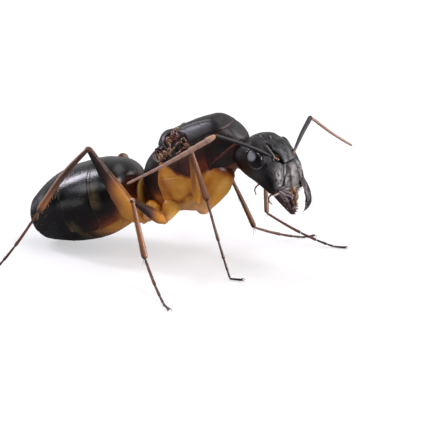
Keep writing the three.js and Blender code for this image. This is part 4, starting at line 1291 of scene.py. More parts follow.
def mandible_skin(bow, stretch, crescent_highlight, fill):
    """One mandible in its own plane: a curved blade with a toothed inner edge."""
    count, breadth = 300, 56
    s = np.linspace(0, 1, count)
    outer = curve(MANDIBLE_OUTER, count)
    heel = 0.55
    base = s < heel
    inner = np.empty((count, 2))
    inner[base] = curve(MANDIBLE_INNER, base.sum())
    bulge = np.sin(math.pi * np.linspace(0, 1, base.sum()))[:, None]
    inner[base] += fill * bulge * (inner[base] - outer[base])
    edge = curve(MANDIBLE_EDGE, count - base.sum())
    run = np.gradient(edge, axis=0)
    outward = np.column_stack([-run[:, 1], run[:, 0]]) / np.linalg.norm(run, axis=1, keepdims=True)
    share = np.linspace(0, 1, len(edge))
    place = (share * 5.7 + 0.15) % 1
    tooth = np.clip(1 - np.abs(place - 0.5) / 0.34, 0, 1) ** 0.9
    size = along(share, [(0, 0.07), (0.15, 0.12), (0.6, 0.18), (0.9, 0.2), (1, 0.02)])
    inner[~base] = edge + outward * (tooth * size)[:, None]
    t = (1 - np.cos(np.linspace(0, math.pi, breadth))) / 2
    straight = np.vstack([inner[base], edge])
    across = outer[:, None] * (1 - t[None, :, None]) + straight[:, None] * t[None, :, None]
    across += (inner - straight)[:, None] * (t ** 6)[None, :, None]
    across[:, :, 0] *= stretch
    thick = along(s, [(0, 0.2), (0.25, 0.17), (0.6, 0.125), (0.85, 0.09), (0.97, 0.05), (1, 0.012)])
    profile = np.sqrt(np.clip(1 - (2 * t - 1) ** 2, 0, 1)) * (1 - 0.62 * t ** 1.5)
    profile = np.maximum(profile, 0.012)
    crown = 0.09 * np.sin(s * math.pi * 0.9)[:, None] * (1 - (2 * t[None] - 1) ** 2)
    bend = (bow * np.sin(math.pi * s ** 0.9) - (0.1 + 0.3 * bow) * s ** 2.5)[:, None]
    early = (soft(s / 0.1) * (1 - soft((s - 0.62) / 0.2)))[:, None]
    line = (0.5 + 0.42 * soft(s / 0.55))[:, None]
    ridge = 0.035 * mound(t[None] - line, 0.035) - 0.05 * mound(t[None] - line - 0.10, 0.05)
    ridge = ridge + 0.02 * mound(t[None] - line - 0.20, 0.05)
    upper = thick[:, None] * profile[None] + crown * 0.6 + bend + ridge * early
    lower = -thick[:, None] * profile[None] * 0.7 + crown * 0.5 + bend
    top = np.dstack([across, upper])
    under = np.dstack([across, lower])[:, ::-1]
    skin = wrapped(np.concatenate([top, under[:, 1:-1]], axis=1))
    skin.faces = skin.faces[:, ::-1]
    is_top = np.tile(np.r_[np.ones(breadth), np.zeros(breadth - 2)], count).astype(bool)
    spot = np.tile(np.r_[t, t[1:-1][::-1]], count)
    reach = np.repeat(s, 2 * breadth - 2)
    spot = np.append(spot, (0.5, 0.5))
    reach = np.append(reach, (0.0, 1.0))
    is_top = np.append(is_top, (False, False))
    near_edge = soft((spot - 0.78) / 0.2) * soft((reach - 0.5) / 0.12)
    skin.masks["pigment"] = np.clip(0.66 + 0.5 * near_edge + 0.3 * soft((reach - 0.85) / 0.12), 0, 1)
    # A painted highlight: a pale crescent along the ridge on the upper face, near the base.
    line = 0.5 + 0.42 * soft(reach / 0.55)
    painted_crescent = mound(spot - line, 0.035) + 0.6 * mound(spot - line - 0.14, 0.05)
    painted_crescent = painted_crescent * (1 - soft((reach - 0.42) / 0.2)) * soft(reach / 0.05)
    skin.masks["rim"] = crescent_highlight * painted_crescent * is_top
    return skin


def mandible_seat(side, sign):
    """The mandible's frame in the head: its closing turn, then its lift and its roll."""
    def spin(axis, degrees):
        return np.array(Matrix.Rotation(math.radians(degrees), 3, axis))
    pose = MANDIBLE_POSE[side]
    turn = spin("Z", -pose["closing"] * sign) @ spin("Y", -pose["lift"])
    turn = turn @ spin("X", -pose["roll"] * sign)
    seat = Seat((MANDIBLE_AT[0], MANDIBLE_AT[1] * sign, MANDIBLE_AT[2]))
    seat.axes = turn.T
    return seat


LEFT_MANDIBLE_BACK = 0.11


def mandible_pieces():
    """Both mandibles. Returns each blade with its seat and side, for the bristles that grow on them."""
    edges = []
    for side, sign in SIDES.items():
        pose = MANDIBLE_POSE[side]
        # The pale crescent, a painted highlight, is strong on the right mandible and weak on the left.
        blade = mandible_skin(pose["bow"], pose["stretch"], 0.75 if sign < 0 else 0.3,
                              0.0 if sign < 0 else 0.4)
        blade.masks["pigment"] = blade.masks["pigment"] + (0.2 if sign > 0 else 0.0)
        if sign > 0:
            blade.points = blade.points * (1, -1, 1)
            blade.faces = blade.faces[:, ::-1]
        seat = mandible_seat(side, sign)
        blade.points = seat.out(blade.points)
        knuckle = ball((0.2, 0.5, 0.22), 24, 32)
        knuckle.points = seat.out(knuckle.points + (0, -0.1 * -sign, 0))
        knuckle.masks["pigment"] = np.full(len(knuckle.points), 0.85)
        whole = joined([blade, knuckle]).moved(head)
        whole.points = whole.points - (LEFT_MANDIBLE_BACK if sign > 0 else 0.0, 0, 0)
        piece(f"mandible_{side}", whole, "mandible_shell",
              stands_for=(f"mandible_{side}",))
        edges.append((blade.moved(head), seat, sign))
    return edges


def mouth_pieces():
    """The lip plate, the soft knobs below it and the four feelers of the mouth."""
    parts = []
    lip = loft([(1.85, 0.62, 0.66, 0.45, 0.55), (2.15, 0.66, 0.62, 0.42, 0.52),
                (2.36, 0.5, 0.55, 0.4, 0.47)], 40, 60, squareness=2.5, start=0.05, end=0.12)
    x, y, z = lip.points.T
    lip.push(-0.10 * mound(y, 0.1) * soft((x - 2.15) / 0.2))
    lip.masks["pigment"] = 0.5 + 0.3 * soft((2.1 - x) / 0.2)
    parts.append(lip)
    lobe = curve([(2.0, -0.9, 1.5), (2.6, -0.8, 1.4), (3.2, -0.9, 0.9)], 60)
    size = 0.19 * np.sqrt(np.clip(np.sin(np.linspace(0.15, math.pi, 60)), 0.02, 1))
    flap = sweep(lobe, size, size * 0.6, 24)
    flap.push(0.05 * ripple(flap.points, 0.16, 36) + 0.03 * ripple(flap.points, 0.4, 37))
    flap.points = flap.points - (0.05, 0, 0.07)
    flap.masks["pigment"] = np.clip(0.86 + 0.25 * ripple(flap.points, 0.2, 38), 0, 1)
    parts.append(flap)
    dice = np.random.default_rng(5)
    for k in range(26):
        aside = dice.uniform(-0.95, 0.95)
        size = dice.uniform(0.07, 0.14)
        knob = ball((size * 1.3, size, size), 18, 24)
        knob.push(0.25 * size * ripple(knob.points, size * 2.2, 310 + k))
        knob.points += (2.06 + dice.uniform(-0.12, 0.16) - 0.12 * aside ** 2, aside,
                        0.62 + dice.uniform(-0.16, 0.2))
        knob.masks["pigment"] = np.full(len(knob.points), dice.uniform(0.05, 0.75))
        parts.append(knob)
    for sign in (-1, 1):
        for k, (aside, depth, length, tone) in enumerate(
                ((0.42, 0.22, 0.62, 0.45), (0.16, 0.1, 0.72, 0.3), (0.3, -0.05, 0.5, 0.6))):
            path = curve([(1.75, aside * sign, depth), (2.1, aside * sign, depth + 0.03),
                          (1.85 + length, aside * 0.8 * sign, depth + 0.06)], 30)
            size = 0.17 * rounding(1 - np.linspace(0, 1, 30), 0.35) + 0.004
            lobe = sweep(path, size, size * 0.8, 24)
            lobe.push(0.012 * ripple(lobe.points, 0.2, 300 + k))
            lobe.masks["pigment"] = np.full(len(lobe.points), tone)
            parts.append(lobe)
    piece("mouthparts", joined(parts).moved(head), "soft_mouth",
          stands_for=("mouthparts",))
    palps = []
    routes = {
        "long": [(1.0, 0.8, -0.3), (0.95, 1.2, -0.62), (1.1, 1.25, -1.0), (1.45, 1.2, -1.15)],
        "short": [(1.8, 0.9, -0.1), (1.95, 1.1, -0.42), (2.2, 1.12, -0.5), (2.42, 1.08, -0.42)],
    }
    for sign in (-1, 1):
        for kind, joints in ((5, routes["long"]), (4, routes["short"])):
            path = curve([(x, y * sign, z) for x, y, z in joints], kind * 12)
            share = (np.linspace(0, kind, kind * 12) % 1)
            size = 0.055 * (0.7 + 0.45 * np.sin(share * math.pi * 0.8))
            size = size * np.linspace(1.15, 0.6, kind * 12)
            palp = sweep(path, size, size, 14)
            palp.masks["pigment"] = np.full(len(palp.points), 0.75)
            palps.append(palp)
    piece("palps", joined(palps).moved(head), "soft_mouth")


def antenna_pieces():
    """Scapes and whips. Returns each whip with its direction."""
    coats = []
    for side, sign in SIDES.items():
        pose = ANTENNA_POSE[side]
        across, aside, upward = SOCKET[side]
        root = head.out((across, aside * sign, upward))
        solid_root = head.out((0.0, 0.85 * sign, 1.54))
        elbow = end_of(solid_root, pose["scape"], SCAPE)
        path = curve([root, mix(root, elbow, 0.5) + (0, 0, 0.12), elbow], 140)
        share = np.linspace(0, 1, 140)
        wide = 1.0 if sign < 0 else 1.22
        size = along(share, [(0, 0.06), (0.015, 0.1), (0.03, 0.1), (0.05, 0.062), (0.09, 0.09),
                             (0.5, 0.112), (0.9, 0.128), (0.975, 0.128), (1, 0.085)])
        size = size * mix(1, wide, soft((share - 0.1) / 0.3))
        scape = sweep(path, size, size, 28)
        pale = 0.05 if sign < 0 else 0.1
        tone = (0.1 if sign < 0 else 0.35) + 0.75 * soft((scape.flat[:, 0] - pale * 0.4) / (pale * 1.3))
        # Lighter along the upper side and darker below: a painted highlight and painted shade.
        tone -= 0.18 * np.sin(2 * math.pi * scape.flat[:, 1])
        tone -= 0.5 * soft((scape.flat[:, 0] - 0.97) / 0.03)
        scape.masks["pigment"] = tone
        knob = ball((0.12, 0.1, 0.1), 24, 32)
        knob.points = knob.points + root + head.axes[2] * 0.01 + head.axes[0] * 0.03
        knob.masks["pigment"] = 0.12 + 0.2 * ripple(knob.points, 0.1, 96)
        piece(f"antenna_scape_{side}", joined([scape, knob]), "scape_shell",
              stands_for=(f"antenna_scape_{side}",))
        tip = end_of(elbow, pose["funiculus"], FUNICULUS)
        lengths = np.array([1.25, 1.1, 1.05, 1.0, 1.0, 0.95, 0.95, 0.9, 0.9, 0.9, 1.25])
        stops = np.concatenate([[0], np.cumsum(lengths)]) / lengths.sum()
        thick = (0.2, 0.085) if sign < 0 else (0.105, 0.085)
        sag = np.array((0, 0, -0.1))
        beads = []
        for k in range(len(lengths)):
            t = np.linspace(stops[k], stops[k + 1] - 0.001, 26)
            path = mix(elbow, tip, t[:, None]) + sag * np.sin(t * math.pi)[:, None]
            local = np.linspace(0, 1, 26)
            body = mix(thick[0], thick[1], soft(t * 1.1) ** 0.8)
            shape = along(local, [(0, 0.84), (0.1, 0.92), (0.5, 0.98), (0.9, 1.0), (1, 0.9)])
            if k == len(lengths) - 1:
                shape = shape * np.sqrt(np.clip(1 - local ** 4, 0.004, 1))
            if k == 0:
                shape = shape * along(local, [(0, 0.45), (0.12, 0.75), (0.6, 1.0)])
            bead = sweep(path, body * shape, body * shape, 24)
            # Lighter along the upper side and darker below: a painted highlight and painted shade.
            round_place = np.sin(2 * math.pi * bead.flat[:, 1])
            tone = 0.46 - 0.3 * (k == 0) * (1 - bead.flat[:, 0])
            bead.masks["pigment"] = tone + 0.14 * bead.flat[:, 0] ** 6 - 0.16 * round_place
            beads.append(bead)
        whip = joined(beads)
        piece(f"antenna_funiculus_{side}", whip, "feeler_shell",
              stands_for=(f"antenna_funiculus_{side}",))
        coats.append((whip, tip - elbow))
    return coats


# ---- Legs ----

def coxa_skin(root, hip, size):
    """A coxa: pear-shaped, from its socket in the trunk down to the hip."""
    axis = hip - root
    length = np.linalg.norm(axis)
    swing = math.degrees(math.atan2(axis[1], axis[0]))
    lift = math.degrees(math.asin(axis[2] / length))
    shape = [(0, 0.75, 0.8), (0.4, 1, 1), (0.8, 0.75, 0.6), (1, 0.6, 0.4)]
    stations = [(length * share, size[0] * wide, size[1] * deep, -size[1] * deep, 0)
                for share, wide, deep in shape]
    skin = loft(stations, 90, 80, squareness=2.15, start=0.5, end=0.3)
    skin.push(0.02 * ripple(skin.points, 1.1, 71))
    share = skin.points[:, 0] / length
    seat = Seat(root, swing, lift)
    placed = skin.moved(seat)
    back = soft((0.3 - (placed.points[:, 0] - root[0])) / 1.2)
    placed.masks["pigment"] = (0.06 + 0.12 * back + 0.25 * soft((share - 0.93) / 0.07)
                               + 0.55 * mound(share, 0.12) + 0.05 * ripple(placed.points, 0.8, 72))
    placed.masks["rim"] = 0.6 * soft((share - 0.55) / 0.35)
    return placed


def limb_skin(start, end, table, sides, bow=(0, 0, 0), steps=110):
    """A leg segment: share of its length, half width, half depth."""
    start = np.asarray(start, float)
    end = np.asarray(end, float)
    path = curve([start, mix(start, end, 0.5) + bow, end], steps)
    share = np.linspace(0, 1, steps)
    table = np.array(table, float)
    dims = between(table, share)
    cap = np.sqrt(np.clip(np.minimum(share, 1 - share) / 0.012, 0.02, 1))
    skin = sweep(path, dims[:, 1] * cap, dims[:, 2] * cap, sides)
    return skin


def tarsus_route(height, reach, steps=160):
    """From the ankle down and out, then flat along the floor, in the leg's upright plane."""
    heel = reach - 0.7
    fall = 0.5 + 0.35 * reach / (reach + height)
    drop = 0.1 - height
    corners = np.array([(0, 0), (heel * 0.55, drop * fall), (heel, drop)])
    t = np.linspace(0, 1, steps)[:, None]
    bend = corners[0] * (1 - t) ** 2 + 2 * corners[1] * t * (1 - t) + corners[2] * t ** 2
    toe = np.column_stack([np.linspace(heel, reach, 30)[1:], np.full(29, drop)])
    route = np.vstack([bend, toe])
    gone = np.concatenate([[0], np.cumsum(np.linalg.norm(np.diff(route, axis=0), axis=1))])
    even = np.linspace(0, gone[-1], steps)
    return np.column_stack([np.interp(even, gone, route[:, k]) for k in range(2)]), gone[-1]


def claw_skin(sign):
    """One hooked claw at the end of a foot, in the foot's frame."""
    path = curve([(0, 0.03 * sign, 0.03), (0.12, 0.09 * sign, 0.05), (0.22, 0.13 * sign, 0.0),
                  (0.26, 0.14 * sign, -0.08)], 24)
    size = np.linspace(0.04, 0.006, 24)
    return sweep(path, size, size, 12)


FEMUR_UNDERSIDE = np.array((-0.82, 0.0, -0.57))
FEMUR_SHIFT = 0.2
FEMUR_FULLNESS = 0.42
FEMUR_SWELL = [(0, 0.4), (0.08, 0.9), (0.2, 1.0), (0.35, 0.85), (0.5, 0.62), (0.7, 0.45), (0.85, 0.25),
               (1, 0)]
KNEE_CAPS = {"hind_left": (2.4, 2.0, 0.13), "hind_right": (1.5, 1.15, 0.08)}


def leg_pieces():
    """All six legs. Returns what their hairs grow on."""
    grown = []
    for pair, leg in LEGS.items():
        for side, sign in SIDES.items():
            name = f"{pair}_{side}"
            femur_pose, tibia_pose, foot_swing = leg[side]
            upper = leg["root"], leg.get("coxa_tip", leg["hip"]), leg["coxa"]
            hip = np.array(leg["hip"]) * (1, sign, 1)
            if sign > 0 and "left_coxa" in leg:
                upper = leg["left_coxa"]
                hip = np.array(upper[1])
            root = np.array(upper[0]) * (1, sign, 1)
            end = np.array(upper[1]) * (1, sign, 1)
            piece(f"coxa_{name}", coxa_skin(root, end, upper[2]), "amber_shell",
                  stands_for=(f"coxa_{name}",))
            knee = end_of(hip, femur_pose, leg["femur"])
            ankle = end_of(knee, tibia_pose, leg["tibia"])
            thick = {"fore": 0.32, "mid": 0.39, "hind": 0.46}[pair]
            femur = limb_skin(hip, knee, [
                (0, 0.17, 0.2), (0.05, 0.22, 0.26), (0.14, thick * 0.8, thick * 0.93),
                (0.26, thick * 0.82, thick), (0.42, thick * 0.76, thick * 0.9),
                (0.64, thick * 0.58, thick * 0.68),
                (0.85, 0.18, 0.22), (0.95, 0.17, 0.2), (1, 0.15, 0.17)], 40)
            share, turn = femur.flat.T
            change, dark = {"fore": (0.78, 0.34), "mid": (0.48, 0.78), "hind": (0.58, 0.82)}[pair]
            upper_side = np.sin(2 * math.pi * turn)
            tone = 0.05 + (dark - 0.05) * soft((share - change + 0.17) / 0.34)
            calm = 0.35 if pair == "fore" else 1.0
            tone = tone + calm * 0.26 * mound(upper_side - 0.75, 0.35) * (1 - 0.6 * soft(share / 0.9))
            tone = tone + calm * 0.22 * mound(upper_side + 1, 0.3) * soft((share - 0.15) / 0.3)
            if name == "fore_left":
                tone = tone + 0.35
            femur.masks["pigment"] = tone - 0.14 * upper_side * soft(share / 0.5)
            # A painted highlight: a pale line along the top of each femur.
            femur.masks["rim"] = 0.3 * mound(upper_side - 1, 0.2) * soft(share / 0.2)
            if name == "hind_right":
                swell = along(share, FEMUR_SWELL)
                facing = np.clip(femur.normals() @ FEMUR_UNDERSIDE, 0, 1)
                fuller = FEMUR_SHIFT + FEMUR_FULLNESS * facing
                femur.points = femur.points + (swell * fuller)[:, None] * FEMUR_UNDERSIDE
            broad, high, drop = KNEE_CAPS.get(name, (1.0, 1.0, 0.0))
            cap = ball((0.17 * broad, 0.16, 0.165 * high), 24, 32)
            cap.points = cap.points + knee - (0, 0, drop)
            # Pale patches on the knee caps, strongest on the right mid knee: painted glints.
            pale = {"mid_right": 0.75, "hind_left": 0.35}.get(name, 0.15)
            cap.masks["pigment"] = np.full(len(cap.points), 0.66)
            cap.masks["rim"] = pale * soft(0.5 + 0.7 * ripple(cap.points, 0.3, 78))
            trochanter = ball((0.22, 0.19, 0.2), 30, 40)
            trochanter.push(0.02 * ripple(trochanter.points, 0.3, 77))
            trochanter.points = trochanter.points + hip
            trochanter.masks["pigment"] = np.full(len(trochanter.points), 0.08)
            # A painted glint: a pale spot low on each trochanter.
            glint_offset = trochanter.points - hip
            trochanter.masks["rim"] = mound(np.linalg.norm(glint_offset - (-0.1, -0.1, -0.08), axis=1), 0.16)
            piece(f"femur_{name}", joined([femur, trochanter]), "leg_shell",
                  stands_for=(f"femur_{name}",))
            arch = 0.32 if pair == "hind" and sign < 0 else 0.03
            stout = {"mid_right": 1.15, "hind_right": 1.2}.get(name, 1.0)
            tibia = limb_skin(knee, ankle, [
                (0, 0.10, 0.10), (0.04, 0.125, 0.135), (0.10, 0.12, 0.13 * stout),
                (0.4, 0.14 * stout, 0.155 * stout),
                (0.75, 0.155 * stout, 0.18 * stout), (0.95, 0.16 * stout, 0.19 * stout), (1, 0.12, 0.13)], 32,
                bow=(0, 0, arch))
            share, turn = tibia.flat.T
            base = {"fore": 0.46, "mid": 0.36, "hind": 0.72}[pair] if sign < 0 else 0.6
            over = np.sin(2 * math.pi * turn)
            tibia.masks["pigment"] = (base - 0.3 * soft((share - 0.5) / 0.4) * (pair == "hind")
                                      + 0.12 * over + 0.16 * mound(over + 1, 0.3)
                                      + 0.35 * mound(share - 1, 0.05))
            # A painted highlight: a pale line along the top of each tibia.
            tibia.masks["rim"] = 0.3 * mound(over - 0.9, 0.22)
            piece(f"tibia_{name}", joined([tibia, cap]), "leg_shell",
                  stands_for=(f"tibia_{name}",))
            reach = math.sqrt((leg["tarsus"] * TARSUS_SPAN) ** 2 - ankle[2] ** 2)
            route, _ = tarsus_route(ankle[2], reach)
            plane = Seat(ankle, foot_swing)
            stops = np.array([0, 0.46, 0.66, 0.79, 0.87, 1.0])
            joints = []
            for k in range(5):
                t = np.linspace(stops[k], stops[k + 1] - 0.004, 34)
                x = np.interp(t, np.linspace(0, 1, len(route)), route[:, 0])
                z = np.interp(t, np.linspace(0, 1, len(route)), route[:, 1])
                path = plane.out(np.column_stack([x, np.zeros(34), z]))
                local = np.linspace(0, 1, 34)
                body = mix(0.095, 0.07, min(k / 3, 1))
                shape = along(local, [(0, 0.6), (0.08, 0.8), (0.4, 0.88), (0.8, 0.96), (0.94, 1.12),
                                      (1, 0.8)])
                joint = sweep(path, body * shape, body * shape, 18)
                joint.masks["pigment"] = np.full(len(joint.points), 0.58 + 0.07 * k)
                joints.append(joint)
            foot = Seat(plane.out((reach - 0.02, 0, 0.1 - ankle[2])), foot_swing)
            for claw_sign in (-1, 1):
                claw = claw_skin(claw_sign)
                claw.points = foot.out(claw.points)
                claw.masks["pigment"] = np.full(len(claw.points), 0.75)
                joints.append(claw)
            pad = ball((0.08, 0.06, 0.035), 14, 18)
            pad.points = foot.out(pad.points + (0.06, 0, -0.03))
            pad.masks["pigment"] = np.full(len(pad.points), 0.5)
            joints.append(pad)
            piece(f"tarsus_{name}", joined(joints), "leg_shell",
                  stands_for=(f"tarsus_{name}",))
            grown.append({"name": name, "femur": femur, "tibia": tibia, "foot": joined(joints[:5]),
                          "hip": hip, "knee": knee, "ankle": ankle, "toe": foot.at})
    return grown


# ---- Waist and gaster ----

def petiole_piece():
    """The upright scale between trunk and gaster, and its short stalks. Returns the scale."""
    skin = loft(PETIOLE_FORM, 90, 90, squareness=2.1, start=0.3, end=0.45)
    x, y, _ = skin.points.T
    skin.push(0.012 * ripple(skin.points, 0.6, 91) - 0.04 * mound(y, 0.12) * soft((x - 2.0) / 0.3))
    middle = mound(np.hypot((x - 1.25) / 1.9, y * 1.1), 0.40)
    skin.masks["pigment"] = 0.12 + 0.6 * middle + 0.3 * (1 - soft(x / 0.6))
    skin.masks["rim"] = 0.5 * soft((np.hypot((x - 0.9) / 2.2, y) - 0.52) / 0.2)
    skin.points = np.column_stack([-skin.points[:, 2], skin.points[:, 1], skin.points[:, 0]])
    skin.points = skin.points + PETIOLE_AT
    stalks = []
    for start, end, size in ((PETIOLE_AT + np.array((0.2, 0, 0.55)), trunk.out((-3.3, 0, -0.5)), 0.42),
                             (PETIOLE_AT + np.array((-0.2, 0, 0.6)), abdomen.out((-0.35, 0, -0.75)), 0.45)):
        path = curve([start, mix(start, end, 0.5), end], 30)
        fold = size * (1 + 0.04 * np.sin(np.linspace(0, 7 * math.pi, 30)))
        stalk = sweep(path, fold, fold, 40)
        stalk.masks["pigment"] = np.full(len(stalk.points), 0.6)
        stalks.append(stalk)
    piece("petiole", joined([skin, *stalks]), "scale_shell", stands_for=("petiole",))
    return skin


TERGITE_EDGES = [0.4, -2.25, -4.5, -6.5, -7.45, -8.0]
STERNITE_EDGES = [0.4, -3.55, -5.45, -6.9, -7.6, -8.0]
OVERLAP = 0.35


def gaster_pigment(points, upper):
    """Black, warming to red-brown in front and to amber low down behind the waist."""
    x, _, z = points.T
    low = soft((0.2 - z) / 1.9) * soft((x + 4.6) / 3.4)
    front = 0.46 * soft((x + 1.35) / 0.9) * soft((2.0 - z) / 1.4)
    belly = 0.0 if upper else 0.16 * soft((x + 5.0) / 2.0)
    cloud = 0.07 * ripple(points, 1.3, 61)
    return np.clip(1 - (0.86 + cloud) * low - front - belly + 0.5 * cloud * (low + front), 0, 1)


def gaster_hem(number, points, rear, upper):
    """Where the thin rear edge of a plate lets the olive skin below shine through."""
    x, _, z = points.T
    broken = np.clip(0.75 + 0.35 * ripple(points, 0.7, 64 + number), 0, 1)
    thin = 0.08 * soft((rear + 0.12 - x) / 0.1) * broken
    if not upper:
        return thin + 0.34 * soft((x - rear - 0.1) / 0.6) * soft((x + 4.6) / 1.2) * broken
    if number == 0:
        patch = soft((-1.3 - x - 0.12 * z) / 0.6) * soft((z + 0.3) / 0.6) * soft((1.75 - z) / 0.6)
        return thin + 0.3 * patch * broken
    if number == 1:
        patch = soft((-3.5 - x) / 0.7) * soft((-0.2 - z) / 0.7)
        return thin + 0.3 * patch * broken
    return thin


def gaster_pieces():
    """Five rings of plates, each tucked under the one before, back plates over belly plates."""
    shells = []
    for number in range(5):
        parts = []
        for upper, edges in ((True, TERGITE_EDGES), (False, STERNITE_EDGES)):
            front, rear = edges[number], edges[number + 1]
            start = front + (OVERLAP if number else 0)
            first = number == 0
            last = number == 4
            span = (rear if not last else -8.0, min(start, 0.4))
            rings = max(60, int((span[1] - span[0]) * 38))
            skin = loft(GASTER_FORM, rings, 240, start=0.8, end=1.4, span=span)
            x, y, z = skin.points.T
            tuck = 0 if first else 0.05 * soft((x - front + 0.06) / 0.16)
            lip = 0 if last else 0.010 * mound(x - rear - 0.08, 0.08)
            drop = 0 if upper else 0.05
            skin.push(lip - tuck - drop + 0.012 * ripple(skin.points, 2.2, 50 + number))
            x, y, z = skin.points.T
            angle = np.arctan2(z, np.abs(y))
            border = -0.52 + 0.10 * np.sin(0.9 * x + 0.5)
            field = (border - angle) * 2.4 if upper else (angle - border - 0.22) * 2.4
            skin.masks["pigment"] = gaster_pigment(skin.points, upper)
            skin.masks["rim"] = gaster_hem(number, skin.points, rear, upper) * (not last)
            part = skin.cut(field)
            parts.append(part.thickened(0.035))
            if upper:
                shells.append(part)
        skin = joined(parts)
        piece(f"gaster_segment_{number + 1}", skin.moved(abdomen), "polished_black",
              stands_for=(f"gaster_segment_{number + 1}",))
    lining = loft(GASTER_FORM, 90, 90, start=0.8, end=1.4)
    lining.push(np.full(len(lining.points), -0.15))
    lining.masks["pigment"] = np.full(len(lining.points), 0.92)
    piece("gaster_lining", lining.moved(abdomen), "joint_skin")
    return shells


# ---- Coats ----

def on_tile(flat, tile, across):
    """An unwrap moved into its own square of a grid of squares."""
    corner = np.array((tile % across, tile // across))
    return (flat * 0.96 + corner + 0.01) / across


def short_coat(name, beds, finish, seed, width, bend=0.2):
    """One coat piece. Each bed is a skin, a count, a flow, a stand, lengths and a weight."""
    across = math.ceil(math.sqrt(len(beds)))
    rows = []
    for number, (skin, count, flow, stand, low, high, where) in enumerate(beds):
        spots, normals, flat = scatter(skin, count, seed + number, where)
        ways = leaning(normals, flow, stand, seed + 100 + number)
        dice = np.random.default_rng(seed + 200 + number)
        lengths = dice.uniform(low, high, count)
        rows.append((spots - normals * 0.012, ways, lengths, on_tile(flat, number, across)))
    roots, ways, lengths, flat = (np.concatenate([row[k] for row in rows]) for k in range(4))
    hairs(name, roots, ways, lengths, flat, finish, width=width, bend=bend, seed=seed)


def body_coats():
    """Sparse gold hairs on gaster, head, trunk and scale, and a very short coat on the gaster."""
    back = -abdomen.axes[0]
    long_beds = []
    short_beds = []
    for number, shell in enumerate(tergites):
        front, rear = TERGITE_EDGES[number], TERGITE_EDGES[number + 1]
        placed = shell.moved(abdomen)

        def hem_first(middles, rear=rear):
            return 0.12 + mound(abdomen.near(middles)[:, 0] - rear - 0.22, 0.16)

        long_beds.append((placed, 10, back, 0.4, 0.28, 0.5, hem_first))
        short_beds.append((placed, int(260 * (front - rear)), back, 0.12, 0.09, 0.16, None))
    short_coat("gaster_long_hairs", long_beds, "gold_hair", 700, 0.0065)
    short_coat("gaster_down", short_beds, "brown_hair", 720, 0.004)

    def crown(middles):
        x, _, z = head.near(middles).T
        return soft((z + 0.2) / 0.6) * (0.25 + mound(x - 1.75, 0.3) + 0.5 * mound(x + 1.5, 0.5))

    def chest(middles):
        z = trunk.near(middles)[:, 2]
        return 0.15 + soft((z - 2.3) / 0.5) + soft((-1.2 - z) / 0.4)

    bare = loft(TRUNK_FORM, 90, 90, squareness=2.3, start=0.5, end=0.45).moved(trunk)
    short_coat("body_hairs", [
        (capsule_skin.moved(head), 70, head.axes[0], 0.55, 0.16, 0.34, crown),
        (bare, 90, -trunk.axes[0], 0.6, 0.2, 0.4, chest),
        (petiole_skin, 40, (0, 0, 1), 0.5, 0.2, 0.36, lambda middles: soft((middles[:, 2] - 4.2) / 0.4)),
    ], "gold_hair", 740, 0.006)


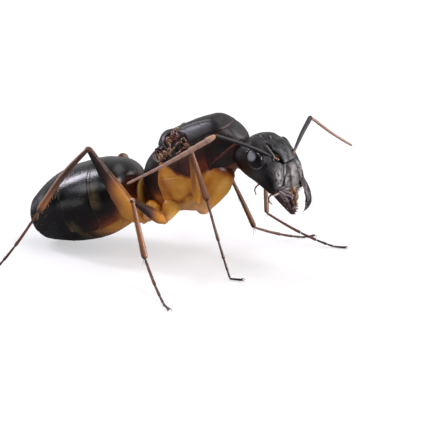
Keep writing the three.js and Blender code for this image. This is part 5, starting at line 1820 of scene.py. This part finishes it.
def limb_coats():
    """Short hairs lying along every leg and whip, spines under the tibiae and their spurs."""
    beds = []
    for leg in legs:
        for part, start, end, count in (("femur", leg["hip"], leg["knee"], 150),
                                        ("tibia", leg["knee"], leg["ankle"], 170),
                                        ("foot", leg["ankle"], leg["toe"], 200)):
            beds.append((leg[part], count, end - start, 0.28, 0.08, 0.17, None))
    short_coat("leg_hairs", beds, "brown_hair", 760, 0.0055)
    whips = [(whip, 420, way, 0.4, 0.05, 0.1, None) for whip, way in feelers]
    short_coat("antenna_hairs", whips, "gold_hair", 800, 0.0045)
    roots, ways, lengths, flat = [], [], [], []
    dice = np.random.default_rng(820)
    for number, leg in enumerate(legs):
        run = leg["ankle"] - leg["knee"]
        size = np.linalg.norm(run)
        ahead = run / size
        below = np.array((0, 0, -1.0)) - ahead * -ahead[2]
        inward = below / np.linalg.norm(below)
        aside = np.cross(ahead, inward)
        for k in range(22):
            share = 0.34 + 0.62 * k / 21 + dice.uniform(-0.01, 0.01)
            lean = dice.uniform(-0.5, 0.5)
            out = inward + aside * lean
            roots.append(leg["knee"] + run * share + out / np.linalg.norm(out) * 0.13)
            ways.append(ahead * 0.75 + out * 0.75)
            lengths.append(dice.uniform(0.16, 0.3))
            flat.append((share, number / 6))
        for lean, length in ((-0.5, 0.62), (0.35, 0.5)):
            out = inward + aside * lean
            roots.append(leg["ankle"] + out * 0.08)
            ways.append(ahead * 0.8 + out * 0.4)
            lengths.append(length)
            flat.append((0.99, number / 6 + 0.05))
    ways = np.array(ways) / np.linalg.norm(ways, axis=1, keepdims=True)
    hairs("leg_spines", np.array(roots), ways, np.array(lengths), np.array(flat), "gold_hair",
          width=0.02, bend=0.08, seed=822)


def mouth_coats():
    """Bristles on the mandibles and a tan fringe round the mouth."""
    beds = []
    for blade, seat, sign in blades:
        def lower_half(middles, seat=seat):
            place = seat.near(head.near(middles))
            return soft((place[:, 0] - 0.5) / 0.4)

        way = head.axes[0] - head.axes[1] * 0.2 * sign
        beds.append((blade, 70, way, 0.25, 0.1, 0.26, lower_half))
    short_coat("mandible_hairs", beds, "gold_hair", 840, 0.0065)
    dice = np.random.default_rng(860)
    count = 260
    aside = dice.uniform(-1.0, 0.95, count)
    places = np.column_stack([2.0 + dice.uniform(-0.05, 0.25, count), aside,
                              0.62 + dice.uniform(-0.35, 0.16, count)])
    ways = np.column_stack([np.full(count, 1.0), -0.25 * aside, dice.uniform(-0.35, 0.3, count)])
    ways += dice.normal(size=(count, 3)) * 0.14
    ways /= np.linalg.norm(ways, axis=1, keepdims=True)
    flat = np.column_stack([(places[:, 0] - 1.9) / 0.4, (aside + 1) / 2]) * 0.98
    hairs("mouth_fringe", head.out(places), ways @ head.axes, dice.uniform(0.16, 0.42, count), flat,
          "gold_hair", width=0.008, bend=0.25, seed=861)


# ---- The whole ant ----

bpy.context.scene.view_settings.view_transform = "Standard"
camera_and_light()
sky_and_floor()
trunk_pieces()
neck_piece()
for side_name, side_sign in SIDES.items():
    wing_scar(side_name, side_sign)
    collar_flange(side_name, side_sign)
capsule_skin = head_pieces()
blades = mandible_pieces()
mouth_pieces()
feelers = antenna_pieces()
legs = leg_pieces()
petiole_skin = petiole_piece()
tergites = gaster_pieces()
body_coats()
limb_coats()
mouth_coats()
